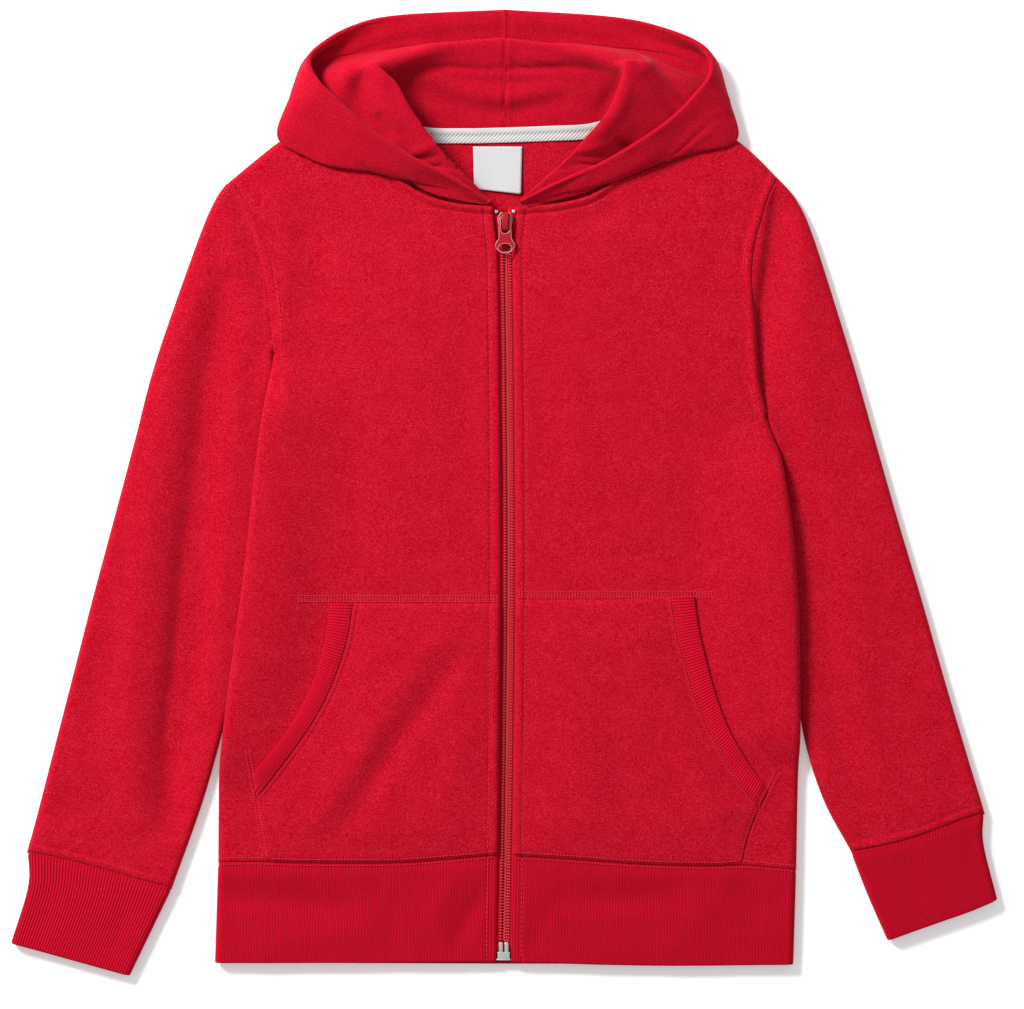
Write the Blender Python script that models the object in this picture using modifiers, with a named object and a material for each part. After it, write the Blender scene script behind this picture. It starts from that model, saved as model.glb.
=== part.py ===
"""A child's zip hoodie, laid flat on its back with the hood spread open.

The frame has +X towards the wearer's left sleeve, +Y towards the hood and +Z up
from the surface that the back panel rests on. Sizes below are in millimetres.
"""

from collections import namedtuple

import bmesh
import bpy
import numpy as np
from mathutils import Matrix

MM = 0.001

# ---------------------------------------------------------------- cloth and layers
FLEECE = 2.2
RIB = 2.6
HOOD_CLOTH = 2.0
TAPE_CLOTH = 0.9
BODY_HEIGHT = 8.0        # two layers of cloth and the air between them
CUFF_HEIGHT = 7.6
SEAM_GAP = 0.3
CUFF_GAP = 0.9
SLEEVE_SHIFT = 0.9       # sideways clearance of a sleeve along its armhole
PANEL_RIM = 0.35         # from the middle of a side or shoulder fold to a panel's edge
SIDE_LIP = 0.9           # upright part of a panel's edge at a side or shoulder seam
UNDERARM_RIM = 1.0       # the same rim where the side fold meets the armhole
EDGE_STEP = 0.36         # first step in from a panel's edge where it has no fold
FRONT_WIDTH = 160.0      # nominal sizes that turn such steps into shares
BACK_WIDTH = 325.0
BODY_LENGTH = 400.0

# The body lies over the inner edge of each sleeve and is lifted by it.
SLEEVE_LIFT = 6.4
LIFT_RAMP = 14.0
LIFT_LEAD = 2.0          # the lift is full this far before the sleeve's edge
LIFT_START = 28.0
LIFT_COLUMNS = (14.0, 26.0, 50.0)    # distances from the side where the panels bend

# Shares across a sleeve, and so down the armhole, where its rounded folds end.
SLEEVE_FOLD = 0.036
SLEEVE_STEPS = 7
ARMHOLE_FADE = 4.0       # how soon the armhole's curve dies away down a sleeve
ARM_ROWS = 0.3           # part of the body's rows that lie beside the armhole
SIDE_ROWS = 9            # rows from the armhole to the waistband

# Sides are the wearer's: right is at negative X.
SIDES = {"right": -1.0, "left": 1.0}

Point = namedtuple("Point", "x y")

# Neck edge of each front, from the zip to the shoulder.
FRONT_NECK = {
    "right": [Point(-9.0, 174.5), Point(-30.5, 176.5), Point(-51.0, 182.5), Point(-69.0, 196.5),
              Point(-79.0, 214.0), Point(-82.5, 228.0), Point(-85.5, 239.0)],
    "left": [Point(10.5, 174.5), Point(32.5, 176.5), Point(54.5, 182.5), Point(71.0, 196.5),
             Point(79.5, 214.0), Point(82.5, 228.0), Point(85.0, 239.0)],
}
# Neck edge of the back, from the shoulder to the middle.
BACK_NECK = {
    "right": [Point(-85.5, 239.0), Point(-70.0, 226.5), Point(-49.5, 218.5),
              Point(-24.5, 217.5), Point(0.0, 218.0)],
    "left": [Point(85.0, 239.0), Point(70.0, 227.0), Point(52.0, 220.5),
             Point(27.5, 219.0), Point(0.0, 218.0)],
}
# Shoulder seam, from the neck to the sleeve.
SHOULDER = {
    "right": [Point(-85.5, 239.0), Point(-102.0, 233.0), Point(-119.0, 225.5),
              Point(-136.5, 215.0), Point(-152.0, 203.0), Point(-170.0, 188.0)],
    "left": [Point(85.0, 239.0), Point(104.0, 233.3), Point(125.0, 225.0),
             Point(141.5, 215.0), Point(155.0, 203.5), Point(166.0, 192.0)],
}
# Armhole seam, from the shoulder down to where the side fold begins.
ARMHOLE = {
    "right": [Point(-170.0, 188.0), Point(-163.0, 177.0), Point(-156.0, 165.0),
              Point(-152.0, 154.0), Point(-148.0, 142.0), Point(-145.0, 127.0),
              Point(-142.5, 109.5), Point(-141.0, 85.5)],
    "left": [Point(166.0, 192.0), Point(161.0, 181.0), Point(157.0, 168.5), Point(152.5, 152.0),
             Point(150.5, 135.5), Point(150.0, 117.5), Point(150.5, 99.0), Point(153.5, 67.5),
             Point(160.0, 45.5)],
}
# Side fold of the body, from the armhole to the waistband.
BODY_SIDE = {
    "right": [Point(-141.0, 85.5), Point(-144.0, 68.5), Point(-148.0, 47.5), Point(-152.0, 17.0),
              Point(-159.0, -47.5), Point(-168.0, -114.5), Point(-172.5, -151.0),
              Point(-174.5, -175.5), Point(-175.0, -224.8)],
    "left": [Point(160.0, 45.5), Point(166.5, 31.0), Point(171.0, 20.0), Point(177.0, -17.0),
             Point(182.0, -65.5), Point(183.0, -126.5), Point(181.0, -151.0),
             Point(178.0, -175.5), Point(177.0, -229.3)],
}
# Seam between each front and the waistband, from the zip to the side.
HEM_SEAM = {
    "right": [Point(-5.6, -220.5), Point(-36.0, -223.3), Point(-70.0, -225.4),
              Point(-125.0, -225.4), Point(-150.0, -224.6), Point(-175.0, -224.8)],
    "left": [Point(4.6, -221.0), Point(40.0, -223.2), Point(85.0, -226.3), Point(125.0, -227.3),
             Point(146.0, -226.7), Point(177.0, -229.3)],
}
# Lower edge of the waistband, from the zip to the side.
HEM_EDGE = {
    "right": [Point(-5.9, -286.0), Point(-94.5, -286.8), Point(-177.0, -287.0)],
    "left": [Point(4.3, -286.4), Point(88.5, -288.5), Point(176.0, -288.0)],
}
# Middle of the zip, from the neck to the hem.
ZIP_LINE = [Point(0.0, 174.5), Point(0.3, 148.0), Point(1.2, 80.0), Point(2.0, -41.0),
            Point(1.0, -157.0), Point(-0.6, -262.0), Point(-0.8, -286.0)]
ZIP_HALF_GAP = 5.1       # from the middle of the zip to each front edge

# Sleeve sections from the armhole to the cuff: both fold edges, and the height at
# the inner one, which is pressed flat where the body lies on it.
SleeveRow = namedtuple("SleeveRow", "outer_x outer_y inner_x inner_y inner_height")
SLEEVE = {
    "right": [
        SleeveRow(-170.0, 188.0, -141.0, 85.5, 8.0),
        SleeveRow(-176.5, 178.5, -142.5, 76.5, 7.8),
        SleeveRow(-187.0, 154.0, -144.5, 66.5, 7.4),
        SleeveRow(-212.5, 81.0, -148.0, 47.5, 6.2),
        SleeveRow(-225.5, 32.0, -147.5, 15.0, 5.6),
        SleeveRow(-238.5, -17.0, -147.0, -17.0, 5.6),
        SleeveRow(-251.5, -65.5, -150.0, -52.0, 5.6),
        SleeveRow(-264.0, -114.5, -158.0, -98.0, 5.6),
        SleeveRow(-276.5, -163.0, -170.5, -141.0, 6.0),
        SleeveRow(-286.0, -200.0, -184.0, -188.5, 7.4),
        SleeveRow(-291.0, -218.0, -202.5, -240.5, 7.8),
    ],
    "left": [
        SleeveRow(166.0, 192.0, 160.0, 45.5, 8.0),
        SleeveRow(177.5, 178.5, 163.5, 39.5, 7.8),
        SleeveRow(188.5, 154.0, 168.5, 30.0, 7.2),
        SleeveRow(211.5, 81.0, 171.5, 14.0, 6.2),
        SleeveRow(225.5, 32.0, 171.0, -12.0, 5.6),
        SleeveRow(239.5, -17.0, 170.0, -41.0, 5.6),
        SleeveRow(254.0, -65.5, 172.0, -75.0, 5.6),
        SleeveRow(268.0, -114.5, 176.5, -112.0, 5.6),
        SleeveRow(282.5, -163.0, 182.5, -151.0, 6.2),
        SleeveRow(290.0, -187.5, 194.0, -187.5, 7.4),
        SleeveRow(292.0, -194.5, 210.5, -218.5, 7.8),
    ],
}
# Cuff, from its outer fold to its inner one: the seam, halfway down, and the open end.
CuffRow = namedtuple("CuffRow", "seam_x seam_y middle_x middle_y end_x end_y")
CUFF = {
    "right": [
        CuffRow(-291.0, -218.0, -291.0, -240.0, -301.5, -275.0),
        CuffRow(-272.0, -222.0, -273.0, -247.0, -283.0, -280.0),
        CuffRow(-248.0, -228.0, -254.0, -253.5, -265.0, -285.0),
        CuffRow(-224.0, -235.0, -234.0, -260.0, -247.0, -290.0),
        CuffRow(-202.5, -240.5, -216.0, -268.0, -229.0, -295.0),
    ],
    "left": [
        CuffRow(292.0, -194.5, 292.0, -214.0, 300.5, -248.5),
        CuffRow(277.0, -199.5, 277.5, -222.0, 284.0, -255.5),
        CuffRow(252.0, -209.0, 258.0, -231.0, 267.0, -261.5),
        CuffRow(232.0, -214.5, 239.0, -238.0, 250.0, -267.5),
        CuffRow(210.5, -218.5, 221.0, -245.0, 233.5, -273.5),
    ],
}
# Mouth of each pocket, from its top to the side of the fronts: both edges of the binding.
MouthRow = namedtuple("MouthRow", "outer_x outer_y inner_x inner_y")
POCKET_MOUTH = {
    "right": [
        MouthRow(-106.5, -67.5, -92.5, -67.5),
        MouthRow(-108.6, -84.0, -95.4, -86.5),
        MouthRow(-112.6, -102.5, -100.6, -105.0),
        MouthRow(-119.6, -122.0, -109.0, -125.5),
        MouthRow(-129.8, -140.5, -120.0, -144.8),
        MouthRow(-142.3, -158.0, -134.0, -164.0),
        MouthRow(-154.5, -171.8, -151.8, -187.0),
    ],
    "left": [
        MouthRow(115.3, -63.0, 101.0, -63.5),
        MouthRow(117.9, -82.0, 104.3, -84.0),
        MouthRow(122.3, -101.0, 109.4, -103.5),
        MouthRow(128.8, -124.5, 117.0, -128.5),
        MouthRow(137.3, -146.0, 127.4, -151.0),
        MouthRow(149.2, -166.0, 140.6, -174.0),
        MouthRow(160.2, -180.8, 154.8, -192.0),
    ],
}
# Short side edge of each pocket, under the binding, and its top seam.
POCKET_SIDE = {
    "right": [Point(-151.8, -187.0), Point(-149.8, -201.0), Point(-147.9, -213.0),
              Point(-146.2, -224.0)],
    "left": [Point(154.8, -192.0), Point(150.6, -202.0), Point(147.2, -212.5),
             Point(144.3, -225.8)],
}
POCKET_TOP = {"right": -67.5, "left": -65.5}
POCKET_RISE = 1.6        # how far a pocket stands off its front, halfway across

# Hood, in sections round the neck from the zip to the centre seam. Each section runs
# from the neck seam up the inside to a roll, down into a hollow, out under the rim to
# a fold, and back over it to the face edge. At the back it lies open on the surface,
# with the face edge outermost.
HoodRow = namedtuple("HoodRow", "seam rise roll hollow fold face")
HOOD = {
    "right": [
        HoodRow((-9.5, 176.3, 6.9), (-9.0, 179.0, 8.6), (-9.5, 181.5, 11.5),
                (-13.5, 180.0, 12.0), (-17.5, 176.5, 12.5), (-11.0, 175.8, 17.5)),
        HoodRow((-29.0, 178.6, 6.9), (-26.5, 187.5, 11.0), (-26.5, 198.0, 19.0),
                (-36.0, 189.5, 15.5), (-34.5, 181.0, 12.5), (-33.5, 189.5, 21.0)),
        HoodRow((-49.8, 185.0, 6.9), (-44.5, 202.0, 12.0), (-43.5, 214.5, 25.0),
                (-62.5, 201.5, 16.0), (-56.5, 188.5, 12.0), (-58.0, 203.5, 24.0)),
        HoodRow((-68.8, 201.0, 6.9), (-61.5, 219.0, 13.0), (-59.0, 233.0, 29.0),
                (-84.5, 215.0, 15.0), (-84.5, 195.0, 11.5), (-80.5, 219.0, 26.0)),
        HoodRow((-78.4, 220.2, 6.6), (-71.0, 234.5, 15.0), (-67.5, 247.5, 32.0),
                (-101.5, 231.0, 14.0), (-111.0, 201.0, 11.0), (-101.0, 236.5, 27.0)),
        HoodRow((-82.6, 241.0, 4.5), (-77.0, 246.5, 17.0), (-79.0, 258.5, 31.0),
                (-111.0, 243.5, 12.0), (-137.5, 216.0, 10.0), (-113.0, 248.0, 26.0)),
        HoodRow((-70.0, 229.6, 2.6), (-65.5, 247.0, 10.0), (-71.0, 262.0, 24.0),
                (-111.5, 256.0, 6.0), (-129.0, 243.0, 5.0), (-119.2, 260.8, 20.0)),
        HoodRow((-54.4, 222.0, 1.4), (-54.0, 252.0, 9.0), (-56.0, 267.0, 20.0),
                (-97.5, 264.5, 3.0), (-117.5, 266.0, 1.6), (-113.6, 270.5, 12.0)),
        HoodRow((-37.0, 219.0, 1.4), (-37.0, 256.0, 9.0), (-39.5, 272.0, 17.0),
                (-73.0, 269.5, 2.2), (-89.0, 276.5, 1.3), (-94.0, 283.0, 6.0)),
        HoodRow((-21.5, 218.8, 1.4), (-21.5, 256.5, 9.0), (-22.5, 274.0, 15.5),
                (-45.5, 268.5, 2.0), (-60.0, 280.0, 1.2), (-66.0, 290.0, 3.5)),
        HoodRow((-0.3, 219.2, 1.4), (-0.3, 256.5, 9.0), (-0.3, 275.5, 15.0),
                (-0.3, 267.0, 2.0), (-0.3, 280.5, 1.2), (-0.3, 293.3, 3.0)),
    ],
    "left": [
        HoodRow((11.0, 176.3, 6.9), (9.5, 178.6, 8.6), (9.5, 181.0, 11.5),
                (13.5, 179.5, 12.0), (18.0, 176.0, 12.5), (11.0, 175.3, 17.5)),
        HoodRow((31.0, 178.6, 6.9), (26.5, 186.5, 11.0), (26.5, 194.5, 19.0),
                (35.5, 187.0, 15.5), (34.5, 179.5, 12.5), (31.0, 188.0, 21.0)),
        HoodRow((53.2, 185.0, 6.9), (45.5, 199.0, 12.0), (44.0, 210.0, 25.0),
                (59.5, 198.5, 16.0), (57.5, 187.5, 12.0), (58.5, 199.5, 24.0)),
        HoodRow((69.8, 199.8, 6.9), (61.5, 214.0, 13.0), (61.0, 226.5, 29.0),
                (85.0, 210.0, 15.0), (85.0, 197.0, 11.5), (81.0, 211.5, 26.0)),
        HoodRow((77.9, 217.5, 6.6), (68.0, 231.0, 15.0), (69.0, 240.0, 32.0),
                (104.5, 224.0, 14.0), (112.5, 205.5, 11.0), (101.0, 225.0, 27.0)),
        HoodRow((82.3, 241.0, 4.5), (74.0, 246.0, 17.0), (75.5, 260.0, 31.0),
                (115.5, 237.5, 12.0), (140.5, 215.5, 10.0), (115.0, 240.0, 26.0)),
        HoodRow((71.0, 229.6, 2.4), (65.0, 248.5, 10.0), (71.0, 261.0, 24.0),
                (117.0, 251.5, 6.0), (134.5, 241.5, 5.0), (125.3, 254.8, 20.0)),
        HoodRow((56.0, 223.2, 1.4), (55.5, 253.0, 9.0), (57.5, 266.5, 20.0),
                (99.5, 263.5, 3.0), (122.5, 265.5, 1.6), (121.5, 270.0, 12.0)),
        HoodRow((38.0, 221.3, 1.4), (38.5, 256.5, 9.0), (38.0, 271.0, 17.0),
                (75.0, 269.5, 2.2), (92.0, 275.5, 1.3), (97.5, 282.0, 6.0)),
        HoodRow((21.5, 220.4, 1.4), (21.5, 256.5, 9.0), (21.0, 273.0, 15.5),
                (42.5, 268.5, 2.0), (59.0, 280.0, 1.2), (64.8, 289.1, 3.5)),
        HoodRow((0.3, 219.2, 1.4), (0.3, 256.5, 9.0), (0.3, 275.5, 15.0),
                (0.3, 267.0, 2.0), (0.3, 280.5, 1.2), (0.3, 293.3, 3.0)),
    ],
}
HOOD_SPAN_STEPS = (4, 4, 6, 5, 5)    # steps between a section's six named points
HOOD_ROUND_STEPS = 2                 # steps between sections

# Neck tape and label, on the inside of the back.
TAPE_START = -50.0
TAPE_END = 62.0
TAPE_ABOVE_SEAM = 4.6
TAPE_BELOW_SEAM = 4.4
TAPE_THICKNESS = 0.7
LABEL_TOP = 211.0
LABEL_BOTTOM = 182.5
LABEL_MIDDLE_X = -4.2
LABEL_WIDTH = 30.0
LABEL_THICKNESS = 0.7

# Zip. Heights are above the surface that the hoodie lies on.
TAPE_UNDERSIDE = 3.9
TAPE_HALF_WIDTH = 14.0
TAPE_SPLIT = 0.15
TAPE_SPREAD = 1.6
CHAIN_UNDERSIDE = 5.1
CHAIN_HALF_WIDTH = 2.9
CHAIN_HEIGHT = 2.0
SLIDER_TOP_Y = 171.0
SLIDER_LENGTH = 12.0
SLIDER_PLATE_TOP = 8.8
SLIDER_PLATE = 1.4
SLIDER_HALF_WIDTH = 4.6
SLIDER_NECK_HALF_WIDTH = 3.7
SLIDER_FLANGE = 1.0
SLIDER_BASE_UNDERSIDE = 2.5
SLIDER_BASE = 1.0
SLIDER_POST_LENGTH = 4.2
SLIDER_POST_HALF_WIDTH = 1.2
BRIDGE_TOP_Y = 170.4
BRIDGE_LENGTH = 11.0
BRIDGE_HALF_WIDTH = 1.9
BRIDGE_OPENING = 2.6
BRIDGE_BAR = 1.2
PULL_AXIS_Y = 167.4
PULL_AXIS_Z = 10.1
PULL_THICKNESS = 1.4
PULL_BAR = 1.9
PULL_LENGTH = 22.4
PULL_WINDOW_LENGTH = 8.6
PULL_WINDOW_HALF_WIDTH = 2.5
PULL_HOLE_HALF_WIDTH = 3.8
PULL_HOLE_HALF_HEIGHT = 2.7
PULL_HOLE_DISTANCE = 18.6
ZIP_BOX_TOP_Y = -280.0
ZIP_BOX_LENGTH = 5.0
ZIP_BOX_HALF_WIDTH = 3.9
ZIP_BOX_UNDERSIDE = 2.9
ZIP_BOX_TOP = 7.0
ZIP_PIN_LENGTH = 6.0
ZIP_PIN_HALF_WIDTH = 1.2
ZIP_PIN_SPACING = 3.4
TOP_STOP_SIZE = (2.6, 2.2, 1.6)
TOP_STOP_OFFSET = 3.6
TOP_STOP_Y = 172.7
TOP_STOP_Z = 6.0

RED = (0.58, 0.008, 0.022)
RIB_RED = (0.52, 0.006, 0.02)
DEEP_RED = (0.36, 0.004, 0.014)

Finish = namedtuple("Finish", "colour roughness metallic")
FLEECE_FINISH = Finish(RED, 0.9, 0.0)
RIB_FINISH = Finish(RIB_RED, 0.92, 0.0)
ZIP_CLOTH_FINISH = Finish(DEEP_RED, 0.8, 0.0)
CHAIN_FINISH = Finish(DEEP_RED, 0.45, 0.0)
TAPE_FINISH = Finish((0.55, 0.54, 0.53), 0.85, 0.0)
LABEL_FINISH = Finish((0.86, 0.86, 0.86), 0.6, 0.0)
PAINT_FINISH = Finish(RED, 0.25, 0.6)
STEEL_FINISH = Finish((0.72, 0.72, 0.71), 0.3, 1.0)


# ---------------------------------------------------------------- lines in plan
def smooth_run(points, steps=12):
    """Dense points on a smooth curve through the given ones."""
    given = np.array(points, float)
    ahead = 2 * given[0] - given[1]
    behind = 2 * given[-1] - given[-2]
    padded = np.vstack([ahead, given, behind])
    dense = []
    for start in range(1, len(padded) - 2):
        before, a, b, after = padded[start - 1:start + 3]
        for step in range(steps):
            f = step / steps
            dense.append(0.5 * (2 * a + (b - before) * f
                                + (2 * before - 5 * a + 4 * b - after) * f ** 2
                                + (3 * a - before - 3 * b + after) * f ** 3))
    dense.append(given[-1])
    return np.array(dense)


def line(*runs):
    """A line that is smooth within each run and may turn sharply between them."""
    parts = [smooth_run(runs[0])]
    parts += [smooth_run(run)[1:] for run in runs[1:]]
    return np.vstack(parts)


def lengths(dense):
    steps = np.linalg.norm(np.diff(dense[:, :2], axis=0), axis=1)
    return np.concatenate([[0.0], np.cumsum(steps)])


def along(dense, fraction):
    """Points at fractions of a line's length."""
    travelled = lengths(dense)
    wanted = np.clip(fraction, 0.0, 1.0) * travelled[-1]
    return np.stack([np.interp(wanted, travelled, dense[:, k]) for k in range(dense.shape[1])],
                    axis=-1)


def distance_to(dense, points):
    """Distance in plan from each point to a line."""
    start = dense[:-1, :2]
    step = dense[1:, :2] - start
    flat = points.reshape(-1, 2)
    offset = flat[:, None, :] - start[None]
    share = np.clip((offset * step).sum(-1) / (step ** 2).sum(-1), 0.0, 1.0)
    gap = np.linalg.norm(offset - share[..., None] * step, axis=-1)
    return gap.min(axis=1).reshape(points.shape[:-1])


def ease(x):
    x = np.clip(x, 0.0, 1.0)
    return x * x * (3.0 - 2.0 * x)


def patch(top, bottom, near, far, across, down, near_down=None, far_down=None, fade=1.0):
    """Plan points blended from four edge lines. Top and bottom run from near to far.

    A higher fade makes the top line's shape die away sooner down the patch.
    """
    near_down = down if near_down is None else near_down
    far_down = down if far_down is None else far_down
    a = across[..., None]
    d = 1.0 - (1.0 - down[..., None]) ** fade
    corners = ((1 - a) * (1 - d) * top[0, :2] + a * (1 - d) * top[-1, :2]
               + (1 - a) * d * bottom[0, :2] + a * d * bottom[-1, :2])
    return ((1 - d) * along(top, across)[..., :2] + d * along(bottom, across)[..., :2]
            + (1 - a) * along(near, near_down)[..., :2] + a * along(far, far_down)[..., :2]
            - corners)


# ---------------------------------------------------------------- objects
def finish_material(name, finish):
    material = bpy.data.materials.new(name)
    material.use_nodes = True
    shader = material.node_tree.nodes["Principled BSDF"]
    shader.inputs["Base Color"].default_value = (*finish.colour, 1.0)
    shader.inputs["Roughness"].default_value = finish.roughness
    shader.inputs["Metallic"].default_value = finish.metallic
    return material


def link(obj, finish):
    obj.data.materials.append(finish_material(obj.name + "_finish", finish))
    PARTS.objects.link(obj)
    return obj


def grid_mesh(name, grid, away_from, closed):
    """Quads over a grid of points, facing away from one point."""
    rows, columns = grid.shape[:2]
    bm = bmesh.new()
    verts = [[bm.verts.new(point * MM) for point in row] for row in grid]
    last = columns if closed else columns - 1
    for i in range(rows - 1):
        for j in range(last):
            k = (j + 1) % columns
            bm.faces.new((verts[i][j], verts[i][k], verts[i + 1][k], verts[i + 1][j]))
    bm.normal_update()
    centre = np.array(away_from) * MM
    facing = sum(face.calc_area() * (np.array(face.calc_center_median()) - centre)
                 @ np.array(face.normal) for face in bm.faces)
    if facing < 0:
        bmesh.ops.reverse_faces(bm, faces=bm.faces[:])
    mesh = bpy.data.meshes.new(name)
    bm.to_mesh(mesh)
    bm.free()
    mesh.shade_smooth()
    return mesh


def cloth(name, grid, wall, finish, away_from, closed=False, offset=-1.0):
    """A wall of cloth on a grid of points on its outside."""
    obj = bpy.data.objects.new(name, grid_mesh(name, grid, away_from, closed))
    shell = obj.modifiers.new("Cloth", "SOLIDIFY")
    shell.thickness = wall * MM
    shell.offset = offset
    return link(obj, finish)


BELOW = (0.0, 0.0, -5000.0)
ABOVE = (0.0, 0.0, 5000.0)


# ---------------------------------------------------------------- shared outlines
class Side:
    """Lines of one half of the garment."""

    def __init__(self, name):
        self.name = name
        self.sign = SIDES[name]
        self.neck = line(FRONT_NECK[name])
        self.shoulder = line(SHOULDER[name])
        self.armhole = line(ARMHOLE[name])
        self.side = line(BODY_SIDE[name])
        self.outline = np.vstack([self.armhole, self.side[1:]])
        self.top = np.vstack([self.neck, self.shoulder[1:]])
        self.hem_seam = line(HEM_SEAM[name])
        self.hem_edge = line(HEM_EDGE[name])
        rows = SLEEVE[name]
        shift = self.sign * SLEEVE_SHIFT
        self.sleeve_outer = line([(row.outer_x + shift, row.outer_y) for row in rows])
        self.sleeve_inner = line([(row.inner_x + shift, row.inner_y, row.inner_height)
                                  for row in rows])
        self.sleeve_top = self.armhole + np.array([shift, 0.0])
        self.sleeve_end = line([(row.seam_x + shift, row.seam_y) for row in CUFF[name]])

    def outline_share(self, down):
        """Share of the outline's length at a row of the body's grid."""
        arm_share = lengths(self.armhole)[-1] / lengths(self.outline)[-1]
        return np.interp(down, [0.0, ARM_ROWS, 1.0], [0.0, arm_share, 1.0])

    def zip_edge(self, start_y, end_y):
        middle = line(ZIP_LINE)
        ys = np.linspace(start_y, end_y, 30)
        xs = np.interp(-ys, -middle[:, 1], middle[:, 0]) + self.sign * ZIP_HALF_GAP
        return np.stack([xs, ys], axis=-1)


def rise(distance, height):
    """Height of a rounded fold over its middle, at a distance from its edge."""
    radius = height / 2.0
    inside = np.clip(1.0 - distance / radius, 0.0, 1.0)
    return radius * np.sqrt(1.0 - inside ** 2)


def body_lift(points, sides):
    """How far the body's underside is held up by the sleeve edges below it."""
    lift = np.zeros(points.shape[:-1])
    for side in sides:
        inner = side.sleeve_inner
        x, y = points[..., 0], points[..., 1]
        edge_x = np.interp(-y, -inner[:, 1], inner[:, 0])
        overlap = side.sign * (x - edge_x)
        begin = ease((side.armhole[-1, 1] - y) / LIFT_START)
        ramp = ease((overlap + LIFT_LEAD + LIFT_RAMP) / LIFT_RAMP)
        lift = np.maximum(lift, SLEEVE_LIFT * begin * ramp)
    return lift


def edge_steps(radius):
    """Distances from an edge at which a rounded fold is divided."""
    return [radius * (1.0 - np.cos(np.radians(angle))) for angle in (35, 62, 90)]


# ---------------------------------------------------------------- body
def body_rows():
    """Rows of the body's grids. The first two lie together, at the shoulder seam."""
    beside_arm = [step * ARM_ROWS for step in ring_steps()[0]]
    return [0.0] + beside_arm + list(np.linspace(ARM_ROWS, 1.0, SIDE_ROWS))[1:]


def front_panel(side):
    """One front, from its zip edge round to the side fold."""
    zip_line = side.zip_edge(side.neck[0, 1], side.hem_seam[0, 1] + SEAM_GAP)
    top = side.top.copy()
    top[0] = zip_line[0]
    bottom = side.hem_seam + np.array([0.0, SEAM_GAP])
    bottom[0] = zip_line[-1]
    neck_share = lengths(top)[len(side.neck) - 1] / lengths(top)[-1]
    edge = [1.0 - d / FRONT_WIDTH for d in edge_steps(BODY_HEIGHT / 2)]
    bend = [1.0 - d / FRONT_WIDTH for d in LIFT_COLUMNS]
    across = list(np.linspace(0, neck_share, 8)) + bend[::-1] + edge[::-1] + [1.0, 1.0]
    down = body_rows()
    a, d = np.meshgrid(across, down)
    in_neck = np.array(across) < neck_share - 1e-6
    d[1, in_neck] = EDGE_STEP / BODY_LENGTH
    on_armhole = np.array(down) < ARM_ROWS - 1e-6
    a[on_armhole, -2] = 1.0 - EDGE_STEP / FRONT_WIDTH
    plan = patch(top, bottom, zip_line, side.outline, a, d, far_down=side.outline_share(d))
    gap = np.minimum(distance_to(side.shoulder, plan), distance_to(side.side, plan))
    up = rise(gap, BODY_HEIGHT)
    up[0, ~in_neck] = PANEL_RIM
    up[1, ~in_neck] = SIDE_LIP
    up[~on_armhole, -1] = PANEL_RIM
    up[~on_armhole, -2] = SIDE_LIP
    up[1, -2:] = SIDE_LIP
    underarm = int(on_armhole.sum())
    up[underarm, -2:] += UNDERARM_RIM
    z = body_lift(plan, [side]) + BODY_HEIGHT / 2 + up
    grid = np.dstack([plan, z])
    return cloth("front_" + side.name, grid, FLEECE, FLEECE_FINISH, BELOW)


def back_panel(right, left):
    """The back, in one piece from side fold to side fold."""
    neck_right = line(BACK_NECK["right"])
    neck_left = line(BACK_NECK["left"])
    top = np.vstack([right.shoulder[::-1], neck_right[1:], neck_left[::-1][1:],
                     left.shoulder[1:]])
    hem_y = (right.hem_seam[-1, 1] + left.hem_seam[-1, 1]) / 2 + SEAM_GAP
    bottom = line([(right.hem_seam[-1, 0], right.hem_seam[-1, 1] + SEAM_GAP), (0.0, hem_y),
                   (left.hem_seam[-1, 0], left.hem_seam[-1, 1] + SEAM_GAP)])
    total = lengths(top)[-1]
    shoulder_right = lengths(right.shoulder)[-1] / total
    shoulder_left = 1.0 - lengths(left.shoulder)[-1] / total
    edge = [d / BACK_WIDTH for d in edge_steps(BODY_HEIGHT / 2)]
    near_side = [0.0, 0.0] + edge + [d / BACK_WIDTH for d in LIFT_COLUMNS]
    across = (near_side + list(np.linspace(shoulder_right, shoulder_left, 8))
              + [1.0 - share for share in near_side[::-1]])
    down = body_rows()
    a, d = np.meshgrid(across, down)
    in_neck = (np.array(across) > shoulder_right + 1e-6) & (np.array(across) < shoulder_left - 1e-6)
    d[1, in_neck] = EDGE_STEP / BODY_LENGTH
    on_armhole = np.array(down) < ARM_ROWS - 1e-6
    a[on_armhole, 1] = EDGE_STEP / BACK_WIDTH
    a[on_armhole, -2] = 1.0 - EDGE_STEP / BACK_WIDTH
    plan = patch(top, bottom, right.outline, left.outline, a, d,
                 right.outline_share(d), left.outline_share(d))
    gap = np.minimum(distance_to(right.side, plan), distance_to(left.side, plan))
    for side in (right, left):
        gap = np.minimum(gap, distance_to(side.shoulder, plan))
    down_by = rise(gap, BODY_HEIGHT)
    down_by[0, ~in_neck] = PANEL_RIM
    down_by[1, ~in_neck] = SIDE_LIP
    underarm = int(on_armhole.sum())
    for edge_column, lip_column in ((0, 1), (-1, -2)):
        down_by[~on_armhole, edge_column] = PANEL_RIM
        down_by[~on_armhole, lip_column] = SIDE_LIP
        down_by[1, edge_column] = SIDE_LIP
        down_by[underarm, [edge_column, lip_column]] += UNDERARM_RIM
    z = body_lift(plan, [right, left]) + BODY_HEIGHT / 2 - down_by
    grid = np.dstack([plan, z])
    return cloth("back", grid, FLEECE, FLEECE_FINISH, ABOVE)


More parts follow.
